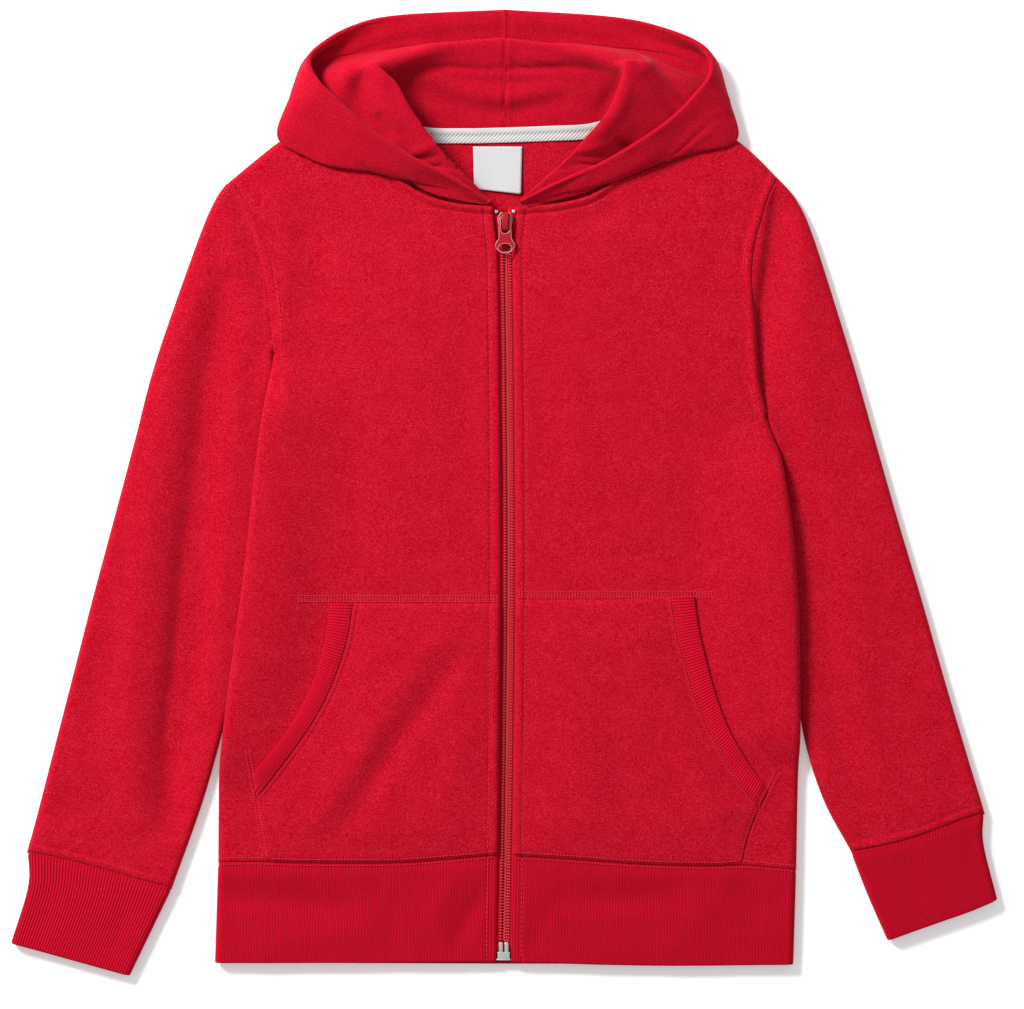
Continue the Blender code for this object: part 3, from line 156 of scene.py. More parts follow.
# The hood in sections round the neck, from the zip to the centre seam. Each runs from
# the neck seam up the inside, over a roll, down into a hollow, out to a fold and back
# up to the face edge.
hoodRows = {
    "right": [
        ((-9.2, 175.6, 6.9), (-9.0, 176.6, 8.0), (-8.9, 177.6, 9.3), (-10.2, 177.6, 9.8),
         (-11.2, 176.9, 8.6), (-9.4, 177.2, 11.8)),
        ((-29.0, 178.6, 6.9), (-29.5, 187.0, 11.0), (-30.3, 197.5, 16.5),
         (-35.5, 192.5, 12.5), (-34.5, 185.8, 8.9), (-33.0, 191.4, 15.5)),
        ((-49.8, 185.0, 6.9), (-46.0, 201.5, 12.0), (-44.8, 214.5, 21.0),
         (-62.0, 203.0, 13.5), (-56.5, 190.8, 9.6), (-58.0, 203.7, 19.0)),
        ((-68.8, 201.0, 6.9), (-61.5, 219.0, 13.0), (-59.0, 233.0, 23.5),
         (-84.5, 215.0, 13.5), (-84.5, 196.6, 10.5), (-80.5, 219.0, 21.0)),
        ((-78.4, 220.2, 6.6), (-71.0, 234.5, 15.0), (-67.5, 247.5, 24.5),
         (-101.5, 231.0, 13.0), (-111.0, 201.0, 10.0), (-101.0, 236.5, 22.5)),
        ((-82.6, 240.0, 2.0), (-77.0, 246.5, 17.0), (-79.0, 258.5, 24.5),
         (-111.0, 243.5, 12.0), (-137.5, 216.0, 9.0), (-113.0, 248.0, 22.5)),
        ((-70.0, 229.6, 2.6), (-65.5, 247.0, 10.0), (-71.0, 262.0, 21.5),
         (-111.5, 256.0, 6.0), (-129.0, 243.0, 5.0), (-119.2, 260.8, 18.0)),
        ((-54.4, 222.0, 1.4), (-54.0, 252.0, 9.0), (-56.0, 267.0, 18.0),
         (-97.5, 264.5, 3.0), (-117.5, 266.0, 1.6), (-113.6, 270.5, 12.0)),
        ((-37.0, 219.0, 1.4), (-37.0, 256.0, 9.0), (-39.5, 272.0, 14.0),
         (-73.0, 269.5, 2.2), (-89.0, 276.5, 1.3), (-94.0, 283.0, 6.0)),
        ((-21.5, 218.8, 1.4), (-21.5, 256.5, 9.0), (-22.5, 274.0, 12.5),
         (-45.5, 268.5, 2.0), (-60.0, 280.0, 1.2), (-66.0, 290.0, 3.5)),
        ((-0.3, 219.2, 1.4), (-0.3, 256.5, 9.0), (-0.3, 275.5, 12.0), (-0.3, 267.0, 2.0),
         (-0.3, 280.5, 1.2), (-0.3, 293.3, 3.0)),
    ],
    "left": [
        ((10.6, 175.6, 6.9), (9.9, 176.6, 8.0), (9.2, 177.6, 9.3), (10.6, 177.6, 9.8),
         (11.8, 176.9, 8.6), (9.8, 177.2, 11.8)),
        ((31.0, 178.6, 6.9), (29.0, 186.5, 11.0), (29.8, 195.0, 13.2), (36.0, 189.5, 11.0),
         (34.5, 183.2, 8.8), (32.5, 188.6, 12.4)),
        ((53.2, 185.0, 6.9), (47.0, 199.5, 12.0), (46.2, 210.5, 17.5), (60.0, 200.0, 11.8),
         (57.5, 188.7, 9.4), (58.0, 199.3, 14.8)),
        ((69.8, 199.8, 6.9), (61.5, 214.0, 13.0), (61.0, 226.5, 24.0), (85.0, 210.0, 12.5),
         (85.0, 197.8, 10.0), (81.0, 212.3, 18.0)),
        ((77.9, 217.5, 6.6), (68.0, 231.0, 15.0), (69.0, 240.0, 26.5), (104.5, 224.0, 13.0),
         (112.5, 207.6, 9.5), (101.0, 226.3, 19.0)),
        ((82.3, 240.0, 2.0), (74.0, 246.0, 17.0), (75.5, 260.0, 28.0), (115.5, 237.5, 13.5),
         (140.5, 215.5, 8.5), (115.0, 240.0, 20.0)),
        ((71.0, 229.6, 2.4), (65.0, 248.5, 10.0), (71.0, 261.0, 21.5),
         (117.0, 251.5, 6.0), (134.5, 241.5, 5.0), (125.3, 254.8, 17.5)),
        ((56.0, 223.2, 1.4), (55.5, 253.0, 9.0), (57.5, 266.5, 18.0),
         (99.5, 263.5, 3.0), (122.5, 265.5, 1.6), (121.5, 270.0, 12.0)),
        ((38.0, 221.3, 1.4), (38.5, 256.5, 9.0), (38.0, 271.0, 14.0),
         (75.0, 269.5, 2.2), (92.0, 275.5, 1.3), (97.5, 282.0, 6.0)),
        ((21.5, 220.4, 1.4), (21.5, 256.5, 9.0), (21.0, 273.0, 12.5),
         (42.5, 268.5, 2.0), (59.0, 280.0, 1.2), (64.8, 289.1, 3.5)),
        ((0.3, 219.2, 1.4), (0.3, 256.5, 9.0), (0.3, 275.5, 12.0), (0.3, 267.0, 2.0),
         (0.3, 280.5, 1.2), (0.3, 293.3, 3.0)),
    ],
}


# Lines and fields.
# Dense points on a smooth curve through the given ones.
def smoothRun(points, steps=12):
    given = np.array(points, float)
    padded = np.concatenate([2 * given[:1] - given[1:2], given, 2 * given[-1:] - given[-2:-1]])
    f = (np.arange(steps) / steps).reshape(-1, *([1] * (given.ndim - 1)))
    dense = []
    for start in range(1, len(padded) - 2):
        before, a, b, after = padded[start - 1:start + 3]
        dense.append(0.5 * (2 * a + (b - before) * f
                            + (2 * before - 5 * a + 4 * b - after) * f ** 2
                            + (3 * a - before - 3 * b + after) * f ** 3))
    dense.append(given[-1:])
    return np.concatenate(dense)


# A line that is smooth within each run and may turn between them.
def joined(*runs):
    return np.vstack([smoothRun(runs[0])] + [smoothRun(run)[1:] for run in runs[1:]])


# Vectors along the last axis, made one long.
def unit(vectors):
    length = np.linalg.norm(vectors, axis=-1, keepdims=True)
    return vectors / np.maximum(length, 1e-9)


# Vectors in plan, turned a quarter to the left.
def leftOf(forward):
    return np.stack([-forward[:, 1], forward[:, 0]], axis=-1)


def runLengths(dense):
    steps = np.linalg.norm(np.diff(dense, axis=0), axis=1)
    return np.concatenate([[0.0], np.cumsum(steps)])


# Points at shares of a line's length in plan.
def along(dense, share):
    travelled = runLengths(dense[:, :2])
    wanted = np.clip(share, 0.0, 1.0) * travelled[-1]
    return np.stack([np.interp(wanted, travelled, dense[:, k])
                     for k in range(dense.shape[1])], axis=-1)


# Distance in plan from each point to a line, and how far along the line that is.
def nearest(dense, plan):
    start = dense[:-1, :2]
    step = dense[1:, :2] - start
    flat = plan.reshape(-1, 2)
    best = np.full(len(flat), np.inf)
    share = np.zeros(len(flat))
    travelled = runLengths(dense[:, :2])
    for k in range(len(start)):
        offset = flat - start[k]
        t = np.clip(offset @ step[k] / max(step[k] @ step[k], 1e-12), 0.0, 1.0)
        gap = np.linalg.norm(offset - t[:, None] * step[k], axis=1)
        closer = gap < best
        best[closer] = gap[closer]
        reached = travelled[k] + t * (travelled[k + 1] - travelled[k])
        share[closer] = reached[closer] / travelled[-1]
    return best.reshape(plan.shape[:-1]), share.reshape(plan.shape[:-1])


def distanceTo(dense, plan):
    return nearest(dense, plan)[0]


def ease(x):
    x = np.clip(x, 0.0, 1.0)
    return x * x * (3.0 - 2.0 * x)


# Plan points blended from four edge lines. Top and bottom run from near to far.
def patch(top, bottom, near, far, a, d, farShare=None, fade=1.0):
    farShare = d if farShare is None else farShare
    nearAt = along(near, d)[..., :2]
    farAt = along(far, farShare)[..., :2]
    topAt = along(top, a)[..., :2]
    bottomAt = along(bottom, a)[..., :2]
    a = a[..., None]
    d = 1.0 - (1.0 - d[..., None]) ** fade
    corners = ((1 - a) * (1 - d) * top[0, :2] + a * (1 - d) * top[-1, :2]
               + (1 - a) * d * bottom[0, :2] + a * d * bottom[-1, :2])
    return (1 - d) * topAt + d * bottomAt + (1 - a) * nearAt + a * farAt - corners


# Height over its middle of a rounded fold, at a distance from its edge.
def foldRise(distance, height):
    inside = np.clip(1.0 - distance / (height / 2), 0.0, 1.0)
    return height / 2 * np.sqrt(1.0 - inside ** 2)


# How far a rounded cut edge falls away.
def edgeDrop(distance, radius):
    inside = np.clip(1.0 - distance / radius, 0.0, 1.0)
    return radius * (1.0 - np.sqrt(1.0 - inside ** 2))


def groove(distance, at, width):
    return np.exp(-((distance - at) / width) ** 2)


# A soft trough (negative depth) or ridge along points in plan, fading towards its ends.
# A far width is the one on the +X side of a crease that runs along Y.
def crease(width, depth, *path, farWidth=None, fade=0.6):
    return {"line": smoothRun(path, 6), "width": width, "depth": depth,
            "farWidth": farWidth, "fade": fade}


# Height that creases add to points in plan.
def creased(plan, creases):
    total = np.zeros(plan.shape[:-1])
    for one in creases:
        line, width = one["line"], one["width"]
        gap, share = nearest(line, plan)
        if one["farWidth"]:
            order = np.argsort(line[:, 1])
            beyond = plan[..., 0] > np.interp(plan[..., 1], line[order, 1], line[order, 0])
            width = np.where(beyond, one["farWidth"], width)
        fade = np.sin(math.pi * np.clip(share, 0.0, 1.0)) ** one["fade"]
        total += one["depth"] * np.exp(-(gap / width) ** 2) * fade
    return total


# Slow waves with no plain direction, from about -1 to 1.
def unevenness(plan, size, seed):
    x, y = plan[..., 0] / size, plan[..., 1] / size
    return (np.sin(1.3 * x + 0.7 * y + seed) * np.sin(0.5 * x - 1.1 * y + 2.1 * seed)
            + 0.5 * np.sin(2.3 * x - 1.7 * y + 3.7 * seed) * np.sin(1.9 * x + 2.6 * y + seed))


# Distances along a length: close together at its ends, a step apart between.
def stepsFrom(fine, length, step, fineEnd=()):
    start = list(fine)
    end = [length - f for f in fineEnd][::-1]
    last = end[0] if end else length
    count = max(2, int(round((last - start[-1]) / step)) + 1)
    middle = list(np.linspace(start[-1], last, count))
    return np.array(start[:-1] + middle + end[1:])


# Mesh building.
def linked(name, data):
    obj = bpy.data.objects.new(name, data)
    bpy.context.scene.collection.objects.link(obj)
    return obj


def meshFrom(bm, name):
    mesh = bpy.data.meshes.new(name)
    bm.to_mesh(mesh)
    bm.free()
    return mesh


# An object from rows and columns of points. Its UV map is u and v, turned into metres.
def gridObject(name, grid, u, v, closed=False, flip=False, capped=False):
    rows, columns = grid.shape[:2]
    index = np.arange(rows * columns).reshape(rows, columns)
    if closed:
        index = np.hstack([index, index[:, :1]])
        u = np.hstack([u, u[:, -1:] + (u[:, -1:] - u[:, -2:-1])])
        v = np.hstack([v, v[:, :1]])
    corners = [index[:-1, :-1], index[:-1, 1:], index[1:, 1:], index[1:, :-1]]
    if flip:
        corners = corners[::-1]
    faces = np.stack(corners, axis=-1).reshape(-1, 4).tolist()
    ends = []
    if capped:
        for row, turn in ((0, not flip), (rows - 1, flip)):
            for j in range(columns // 2 - 1):
                quad = [row * columns + k for k in (j, j + 1, columns - 2 - j, columns - 1 - j)]
                ends.append(quad if turn else quad[::-1])
    mesh = bpy.data.meshes.new(name)
    mesh.from_pydata((grid.reshape(-1, 3) * mm).tolist(), [], faces + ends)
    uvCorners = []
    for values in (u * mm, v * mm):
        four = [values[:-1, :-1], values[:-1, 1:], values[1:, 1:], values[1:, :-1]]
        if flip:
            four = four[::-1]
        uvCorners.append(np.stack(four, axis=-1).reshape(-1))
    layer = mesh.uv_layers.new(name="cloth")
    corner = np.concatenate([np.stack(uvCorners, axis=-1).reshape(-1), np.zeros(8 * len(ends))])
    layer.data.foreach_set("uv", corner)
    mesh.shade_smooth()
    return linked(name, mesh)


def walled(obj, thickness):
    wall = obj.modifiers.new("Wall", "SOLIDIFY")
    wall.thickness = thickness * mm
    wall.offset = -1.0


# Unit normals of a grid of points, across the rows and along them.
def gridNormals(grid, closed=False):
    if closed:
        across = np.roll(grid, -1, axis=1) - np.roll(grid, 1, axis=1)
    else:
        across = np.gradient(grid, axis=1)
    down = np.gradient(grid, axis=0)
    return unit(np.cross(across, down))


# Distance travelled along a grid's rows or columns.
def arcs(grid, axis):
    steps = np.linalg.norm(np.diff(grid, axis=axis), axis=-1)
    shape = list(steps.shape)
    shape[axis] = 1
    return np.concatenate([np.zeros(shape), np.cumsum(steps, axis=axis)], axis=axis)


# Finish one piece of cloth or trim, let it ride on the body and hide the parts it replaces.
def dress(obj, material, nodes):
    obj.data.materials.append(material)
    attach(obj, body)
    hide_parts(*nodes)


# Node helpers.
# A group whose outputs are a colour and a normal. An input without a value is a colour.
def newGroup(name, inputs):
    group = bpy.data.node_groups.new(name, "ShaderNodeTree")
    for label, value in inputs.items():
        kind = "NodeSocketColor" if value is None else "NodeSocketFloat"
        socket = group.interface.new_socket(name=label, in_out="INPUT", socket_type=kind)
        if value is not None:
            socket.default_value = value
    for label, kind in (("Colour", "NodeSocketColor"), ("Normal", "NodeSocketVector")):
        group.interface.new_socket(name=label, in_out="OUTPUT", socket_type=kind)
    start = group.nodes.new("NodeGroupInput")
    end = group.nodes.new("NodeGroupOutput")
    return group, start.outputs, end.inputs


# Give a socket a value, or link it to another.
def feed(tree, socket, value):
    if isinstance(value, bpy.types.NodeSocket):
        tree.links.new(value, socket)
    elif isinstance(value, tuple) and socket.type == "RGBA":
        socket.default_value = (*value, 1.0)
    else:
        socket.default_value = value


def mathNode(tree, operation, *values):
    node = tree.nodes.new("ShaderNodeMath")
    node.operation = operation
    for socket, value in zip(node.inputs, values):
        feed(tree, socket, value)
    return node.outputs[0]


def vectorNode(tree, operation, vector, second):
    node = tree.nodes.new("ShaderNodeVectorMath")
    node.operation = operation
    feed(tree, node.inputs[0], vector)
    feed(tree, node.inputs["Scale" if operation == "SCALE" else 1], second)
    return node.outputs[0]


def noiseNode(tree, vector, scale, detail=2.0, roughness=0.5):
    node = tree.nodes.new("ShaderNodeTexNoise")
    for label, value in (("Vector", vector), ("Scale", scale), ("Detail", detail),
                         ("Roughness", roughness)):
        feed(tree, node.inputs[label], value)
    return node.outputs["Fac"]


def mixColour(tree, factor, first, second):
    node = tree.nodes.new("ShaderNodeMix")
    node.data_type = "RGBA"
    for slot, value in ((0, factor), (6, first), (7, second)):
        feed(tree, node.inputs[slot], value)
    return node.outputs[2]


def bumpNode(tree, height, strength, distance):
    node = tree.nodes.new("ShaderNodeBump")
    for label, value in (("Height", height), ("Strength", strength), ("Distance", distance)):
        feed(tree, node.inputs[label], value)
    return node.outputs[0]


def objectCoords(tree):
    return tree.nodes.new("ShaderNodeTexCoord").outputs["Object"]


# The two parts of the cloth's UV map, in metres.
def clothCoords(tree):
    uv = tree.nodes.new("ShaderNodeUVMap")
    uv.uv_map = "cloth"
    split = tree.nodes.new("ShaderNodeSeparateXYZ")
    tree.links.new(uv.outputs[0], split.inputs[0])
    return split.outputs["X"], split.outputs["Y"]


def newMaterial(name):
    material = bpy.data.materials.new(name)
    material.use_nodes = True
    return material, material.node_tree, material.node_tree.nodes["Principled BSDF"]


def setShader(tree, shader, values):
    for label, value in values.items():
        feed(tree, shader.inputs[label], value)


# Shared effects. Plain numbers are noise scales; depths and pitches are in metres.
nap = {"grain": 820.0, "fibres": 1700.0, "clouds": 95.0, "courses": (260.0, 900.0, 500.0),
       "diagonal": (620.0, 300.0, 400.0), "depth": 0.0004, "darkest": 0.0004}
wales = {"drift": 110.0, "grain": 1100.0, "loopPitch": 0.0009, "depth": 0.0002}
yarns = {"plainShade": 0.85, "depth": 0.0003}


# Brushed knit: fibre mottling, faint courses and a fine nap.
def buildFleece():
    group, given, result = newGroup(
        "brushedKnit", {"Colour": None, "Mottle": 0.2, "Fuzz": 0.006, "Nap": 0.5})
    coords = objectCoords(group)
    grain = noiseNode(group, coords, nap["grain"], 3.0, 0.65)
    fibres = noiseNode(group, coords, nap["fibres"], 2.0, 0.6)
    clouds = noiseNode(group, coords, nap["clouds"], 3.0, 0.55)
    courses, diagonal = [
        noiseNode(group, vectorNode(group, "MULTIPLY", coords, nap[stretch]), 1.0)
        for stretch in ("courses", "diagonal")]
    mix = mathNode(group, "MULTIPLY_ADD", grain, 1.6, -0.8)
    for layer, share in ((fibres, 4.0), (clouds, 0.5), (courses, 0.4), (diagonal, 0.5)):
        mix = mathNode(group, "ADD", mix,
                       mathNode(group, "MULTIPLY_ADD", layer, share, -share / 2))
    gain = mathNode(group, "MULTIPLY_ADD", mix, given["Mottle"], 1.0)
    pale = mathNode(group, "MULTIPLY", mix, given["Fuzz"])
    colour = vectorNode(group, "SCALE", given["Colour"], gain)
    colour = vectorNode(group, "ADD", colour, pale)
    colour = vectorNode(group, "MAXIMUM", colour, (nap["darkest"],) * 3)
    fluff = mathNode(group, "ADD", grain, mathNode(group, "MULTIPLY", courses, 0.7))
    feed(group, result["Colour"], colour)
    feed(group, result["Normal"], bumpNode(group, fluff, given["Nap"], nap["depth"]))
    return group


# Painted shade in the grooves between rib wales that run along v, a pitch apart in u, with a
# random grain on top.
def buildWales():
    group, given, result = newGroup(
        "ribWales", {"Colour": None, "Pitch": 0.0013, "Groove": 0.4})
    u, v = clothCoords(group)
    coords = objectCoords(group)
    drift = noiseNode(group, coords, wales["drift"])
    turns = mathNode(group, "DIVIDE", u, given["Pitch"])
    turns = mathNode(group, "ADD", turns, mathNode(group, "MULTIPLY", drift, 0.5))

    def ridges(value, factor):
        angle = mathNode(group, "MULTIPLY", value, factor)
        return mathNode(group, "ABSOLUTE", mathNode(group, "SINE", angle))
    crest = mathNode(group, "POWER", ridges(turns, math.pi), 0.6)
    loops = ridges(v, math.pi / wales["loopPitch"])
    grain = noiseNode(group, coords, wales["grain"], 2.0, 0.6)
    shadeAndGrain = mathNode(group, "MULTIPLY_ADD", mathNode(group, "SUBTRACT", 1.0, crest),
                     mathNode(group, "MULTIPLY", given["Groove"], -1.0), 1.0)
    shadeAndGrain = mathNode(group, "MULTIPLY", shadeAndGrain, mathNode(group, "MULTIPLY_ADD", grain, 0.7, 0.66))
    relief = mathNode(group, "ADD", mathNode(group, "MULTIPLY", loops, 0.35),
                      mathNode(group, "MULTIPLY", grain, 0.6))
    feed(group, result["Colour"], vectorNode(group, "SCALE", given["Colour"], shadeAndGrain))
    feed(group, result["Normal"], bumpNode(group, relief, 0.5, wales["depth"]))
    return group


# Slanted yarns that change direction from band to band across v, up to a plain edge.
def buildHerringbone():
    group, given, result = newGroup(
        "herringbone",
        {"Light": None, "Dark": None, "Band": 0.0022, "Pitch": 0.0011, "Plain": 1.0})
    u, v = clothCoords(group)
    slant = mathNode(group, "SUBTRACT", u, mathNode(group, "PINGPONG", v, given["Band"]))
    turns = mathNode(group, "DIVIDE", mathNode(group, "MULTIPLY", slant, 2 * math.pi),
                     given["Pitch"])
    mask = mathNode(group, "MULTIPLY_ADD", mathNode(group, "SINE", turns), 0.5, 0.5)
    beyond = mathNode(group, "GREATER_THAN", v, given["Plain"])
    beyond = mathNode(group, "MULTIPLY", beyond, yarns["plainShade"])
    mask = mathNode(group, "MAXIMUM", mask, beyond)
    feed(group, result["Colour"], mixColour(group, mask, given["Dark"], given["Light"]))
    feed(group, result["Normal"], bumpNode(group, mask, 0.6, yarns["depth"]))
    return group


brushedKnit = buildFleece()
ribWales = buildWales()
herringbone = buildHerringbone()


def addGroup(tree, group, **values):
    node = tree.nodes.new("ShaderNodeGroup")
    node.node_tree = group
    for label, value in values.items():
        feed(tree, node.inputs[label], value)
    return node.outputs


def clothMaterial(name, group, colour, roughness, sheen, **values):
    material, tree, shader = newMaterial(name)
    surface = addGroup(tree, group, Colour=colour, **values)
    setShader(tree, shader, {
        "Base Color": surface["Colour"], "Normal": surface["Normal"], "Roughness": roughness,
        "Specular IOR Level": 0.03, "Sheen Weight": sheen, "Sheen Roughness": 0.45,
        "Sheen Tint": (1.0, 0.25, 0.3)})
    return material


looks = {
    "fleece": (0.40, 0.0030, 0.0160),
    "rib": (0.475, 0.0030, 0.0180),
    "thread": (0.70, 0.0260, 0.0600),
    "zipTape": (0.48, 0.0030, 0.0160),
    "coil": (0.44, 0.0060, 0.0180),
    "enamel": (0.36, 0.0030, 0.0130),
}

fleece = clothMaterial("fleece", brushedKnit, looks["fleece"], 0.9, 0.2, Mottle=0.30,
                       Fuzz=0.014, Nap=0.7)
hoodFleece = clothMaterial("hoodFleece", brushedKnit, looks["fleece"], 0.9, 0.2, Mottle=0.16,
                           Fuzz=0.007, Nap=0.4)
# The rib and zip-tape colours are darkened between the wales as painted shade.
rib = clothMaterial("ribKnit", ribWales, looks["rib"], 0.9, 0.15, Pitch=0.00175, Groove=0.8)
bindingRib = clothMaterial("bindingRib", ribWales, looks["rib"], 0.9, 0.15, Pitch=0.00178,
                           Groove=0.5)
zipCloth = clothMaterial("zipTape", ribWales, looks["zipTape"], 0.85, 0.1, Pitch=0.0007,
                         Groove=0.2)


# A material whose colour a noise mixes with a darker one.
def speckledMaterial(name, scale, grain, dark, colour, values):
    material, tree, shader = newMaterial(name)
    speckle = noiseNode(tree, objectCoords(tree), scale, 2.0, grain)
    feed(tree, shader.inputs["Base Color"], mixColour(tree, speckle, dark, colour))
    setShader(tree, shader, values)
    return material


def wovenMaterial(name, weave, values):
    material, tree, shader = newMaterial(name)
    surface = addGroup(tree, herringbone, **weave)
    setShader(tree, shader, {"Base Color": surface["Colour"], "Normal": surface["Normal"],
                             **values})
    return material


def metalMaterial(name, colour, roughness, metallic, coat, specular=0.5):
    dull = tuple(0.8 * part for part in colour)
    material = speckledMaterial(name, 900.0, 0.5, dull, colour, {
        "Metallic": metallic, "Specular IOR Level": specular, "Coat Weight": coat})
    tree = material.node_tree
    smudge = noiseNode(tree, objectCoords(tree), 260.0, 3.0, 0.6)
    feed(tree, tree.nodes["Principled BSDF"].inputs["Roughness"],
         mathNode(tree, "MULTIPLY_ADD", smudge, 0.2, roughness - 0.1))
    return material


sewingThread = speckledMaterial("sewingThread", 1400.0, 0.6, (0.57, 0.0160, 0.0420),
                                looks["thread"],
                                {"Roughness": 0.7, "Specular IOR Level": 0.1})
herringboneTape = wovenMaterial(
    "herringboneTape", {"Light": (0.59, 0.575, 0.57), "Dark": (0.38, 0.365, 0.365),
                        "Band": 0.0095, "Pitch": 0.0024, "Plain": 0.0062},
    {"Roughness": 0.8})
labelSatin = wovenMaterial(
    "labelSatin", {"Light": (0.62, 0.62, 0.63), "Dark": (0.55, 0.55, 0.57),
                   "Band": 0.0004, "Pitch": 0.0005},
    {"Roughness": 0.55, "Sheen Weight": 0.1})
nylonCoil = speckledMaterial("nylonCoil", 400.0, 0.5, (0.50, 0.012, 0.026), looks["coil"],
                             {"Roughness": 0.4, "Specular IOR Level": 0.35})
enamel = metalMaterial("redEnamel", looks["enamel"], 0.35, 0.0, 0.06, 0.25)
# Pale lines round the slider's and the pull's edges: painted highlights.
edgeHighlight = metalMaterial("brightEdge", (0.84, 0.60, 0.58), 0.3, 0.2, 0.0)
# Pale dots on the zip coil: painted glints.
coilGlint = metalMaterial("coilGlint", (0.80, 0.42, 0.36), 0.4, 0.0, 0.0)
nickel = metalMaterial("nickel", (0.74, 0.73, 0.71), 0.3, 0.85, 0.0)
print("materials ready")


# The two halves. The sleeve heads start a little beside the armholes.
sleeveGap = 0.35


# Dense outlines of one half of the garment.
def halfLines(name):
    sign = signs[name]
    half = {"name": name, "sign": sign}
    half["neck"] = joined(frontNeck[name])
    half["shoulder"] = joined(shoulderSeam[name])
    half["armhole"] = joined(armholeSeam[name])
    half["side"] = joined(sideFold[name])
    half["outline"] = np.vstack([half["armhole"], half["side"][1:]])
    half["top"] = np.vstack([half["neck"], half["shoulder"][1:]])
    half["hem"] = joined(hemSeam[name])
    half["edge"] = joined(hemEdge[name])
    shift = np.array([sign * sleeveGap, 0.0])
    rows = sleeveRows[name]
    half["sleeveOuter"] = joined([(r[0] + shift[0], r[1]) for r in rows])
    half["sleeveInner"] = joined([(r[2] + shift[0], r[3], r[4]) for r in rows])
    half["sleeveTop"] = half["armhole"] + shift
    half["cuffSeam"] = joined([(r[0], r[1]) for r in cuffRows[name]])
    half["cuffEnd"] = joined([(r[4], r[5]) for r in cuffRows[name]])
    return half


def zipX(y):
    middle = smoothRun(zipMiddle)
    return np.interp(-np.asarray(y, float), -middle[:, 1], middle[:, 0])


# Half the gap between the fronts, which opens round the slider.
def gapAt(y):
    return zipHalfGap + zipFlare * ease((np.asarray(y, float) - 148.0) / 22.0)


def zipEdge(half, startY, endY):
    ys = np.linspace(startY, endY, 60)
    return np.stack([zipX(ys) + half["sign"] * gapAt(ys), ys], axis=-1)


halves = {name: halfLines(name) for name in signs}

lift = {"height": 6.4, "ramp": 62.0, "lead": 2.0, "start": 42.0, "clear": 9.0}


# How far the body is held up by the sleeve edges below it.
def bodyLift(plan, sides):
    total = np.zeros(plan.shape[:-1])
    for half in sides:
        inner = half["sleeveInner"]
        x, y = plan[..., 0], plan[..., 1]
        edgeX = np.interp(-y, -inner[:, 1], inner[:, 0])
        overlap = half["sign"] * (x - edgeX)
        begin = ease((half["armhole"][-1, 1] - y) / lift["start"])
        side = half["side"]
        under = half["sign"] * (np.interp(-y, -side[:, 1], side[:, 0]) - edgeX)
        begin = begin * ease((under + lift["clear"]) / lift["clear"])
        ramp = ease((overlap + lift["lead"] + lift["ramp"]) / lift["ramp"])
        total = np.maximum(total, lift["height"] * begin * ramp)
    return total


# Fronts.
front = {
    "height": 8.0,
    "roll": 1.0,
    "zipRoll": 1.7,
    "zipStitch": 6.0,
    "armStitch": 5.5,
    "stitchGroove": 0.8,
    "seamRidge": 0.45,
    "cell": 3.2,
    "waves": 0.35,
    "width": 160.0,
    "turn": 2.0,
    "turnFloor": 3.8,
    "hemTurn": 1.2,
    "zipTurnTop": 5.0,
    "armReach": 0.9,
}
frontCreases = {
    "right": [
        crease(12, -2.3, (-124, 184), (-119, 160), (-115, 138), (-112, 104), farWidth=20),
        crease(8, 1.4, (-139, 140), (-136, 104), (-134, 66), (-136, 30)),
        crease(8, 0.5, (-150, 30), (-155, -40), (-163, -110), (-170, -165)),
        crease(17, -2.2, (-116, 0), (-112, -60), (-120, -110), (-140, -158)),
        crease(30, 0.8, (-62, 150), (-66, 40), (-60, -50)),
        crease(6, 0.7, (-24, -44), (-70, -52), (-124, -56)),
        crease(9, -0.6, (-20, 150), (-24, 60), (-22, -40)),
    ],
    "left": [
        crease(9, -1.4, (40, 165), (56, 168), (72, 182)),
        crease(13, -1.0, (134, 172), (128, 140), (126, 100)),
        crease(7, 1.0, (170, 10), (175, -30), (177, -80), (177, -140)),
        crease(22, -0.8, (118, 60), (124, 0), (130, -60)),
        crease(30, 0.8, (60, 160), (52, 60), (60, -40)),
        crease(6, 0.6, (24, -44), (80, -48), (132, -50)),
        crease(9, -1.2, (150, -70), (156, -110), (166, -160)),
        crease(9, -0.6, (22, 140), (26, 40), (24, -40)),
    ],
}


# Height of a front's face over points in plan.
def frontHeight(half, plan):
    sideGap = np.minimum(distanceTo(half["shoulder"], plan), distanceTo(half["side"], plan))
    arm = distanceTo(half["armhole"], plan)
    neck = distanceTo(half["neck"], plan)
    hem = distanceTo(half["hem"], plan)
    zipGap = half["sign"] * (plan[..., 0] - zipX(plan[..., 1])) - gapAt(plan[..., 1])
    settled = ease(sideGap / 14.0) * ease(arm / 6.0) * ease(hem / 10.0)
    z = bodyLift(plan, [half]) + front["height"] / 2 + foldRise(sideGap, front["height"])
    z += settled * (creased(plan, frontCreases[half["name"]])
                    + front["waves"] * unevenness(plan, 24.0, 1.7 + half["sign"]))
    # on the right, the armhole seam's ridge and groove fade out towards the underarm
    shown = ease((plan[..., 1] - 112.0) / 26.0) if half["sign"] < 0 else 1.0
    z += front["seamRidge"] * (1.5 * shown * np.exp(-((arm - 2.6) / 1.9) ** 2)
                               + 0.8 * np.exp(-((zipGap - 3.2) / 2.4) ** 2)
                               + 1.8 * np.exp(-((neck - 1.8) / 1.2) ** 2))
    z -= front["stitchGroove"] * (shown * groove(arm, front["armStitch"], 1.0)
                                  + groove(zipGap, front["zipStitch"], 0.8)
                                  + groove(neck, 5.0, 0.8))
    z -= edgeDrop(np.minimum(arm, neck), front["roll"] * (0.6 if half["sign"] < 0 else 1.0))
    z -= edgeDrop(hem, 0.5)
    z -= edgeDrop(np.maximum(zipGap, 0.0), front["zipRoll"])
    return z


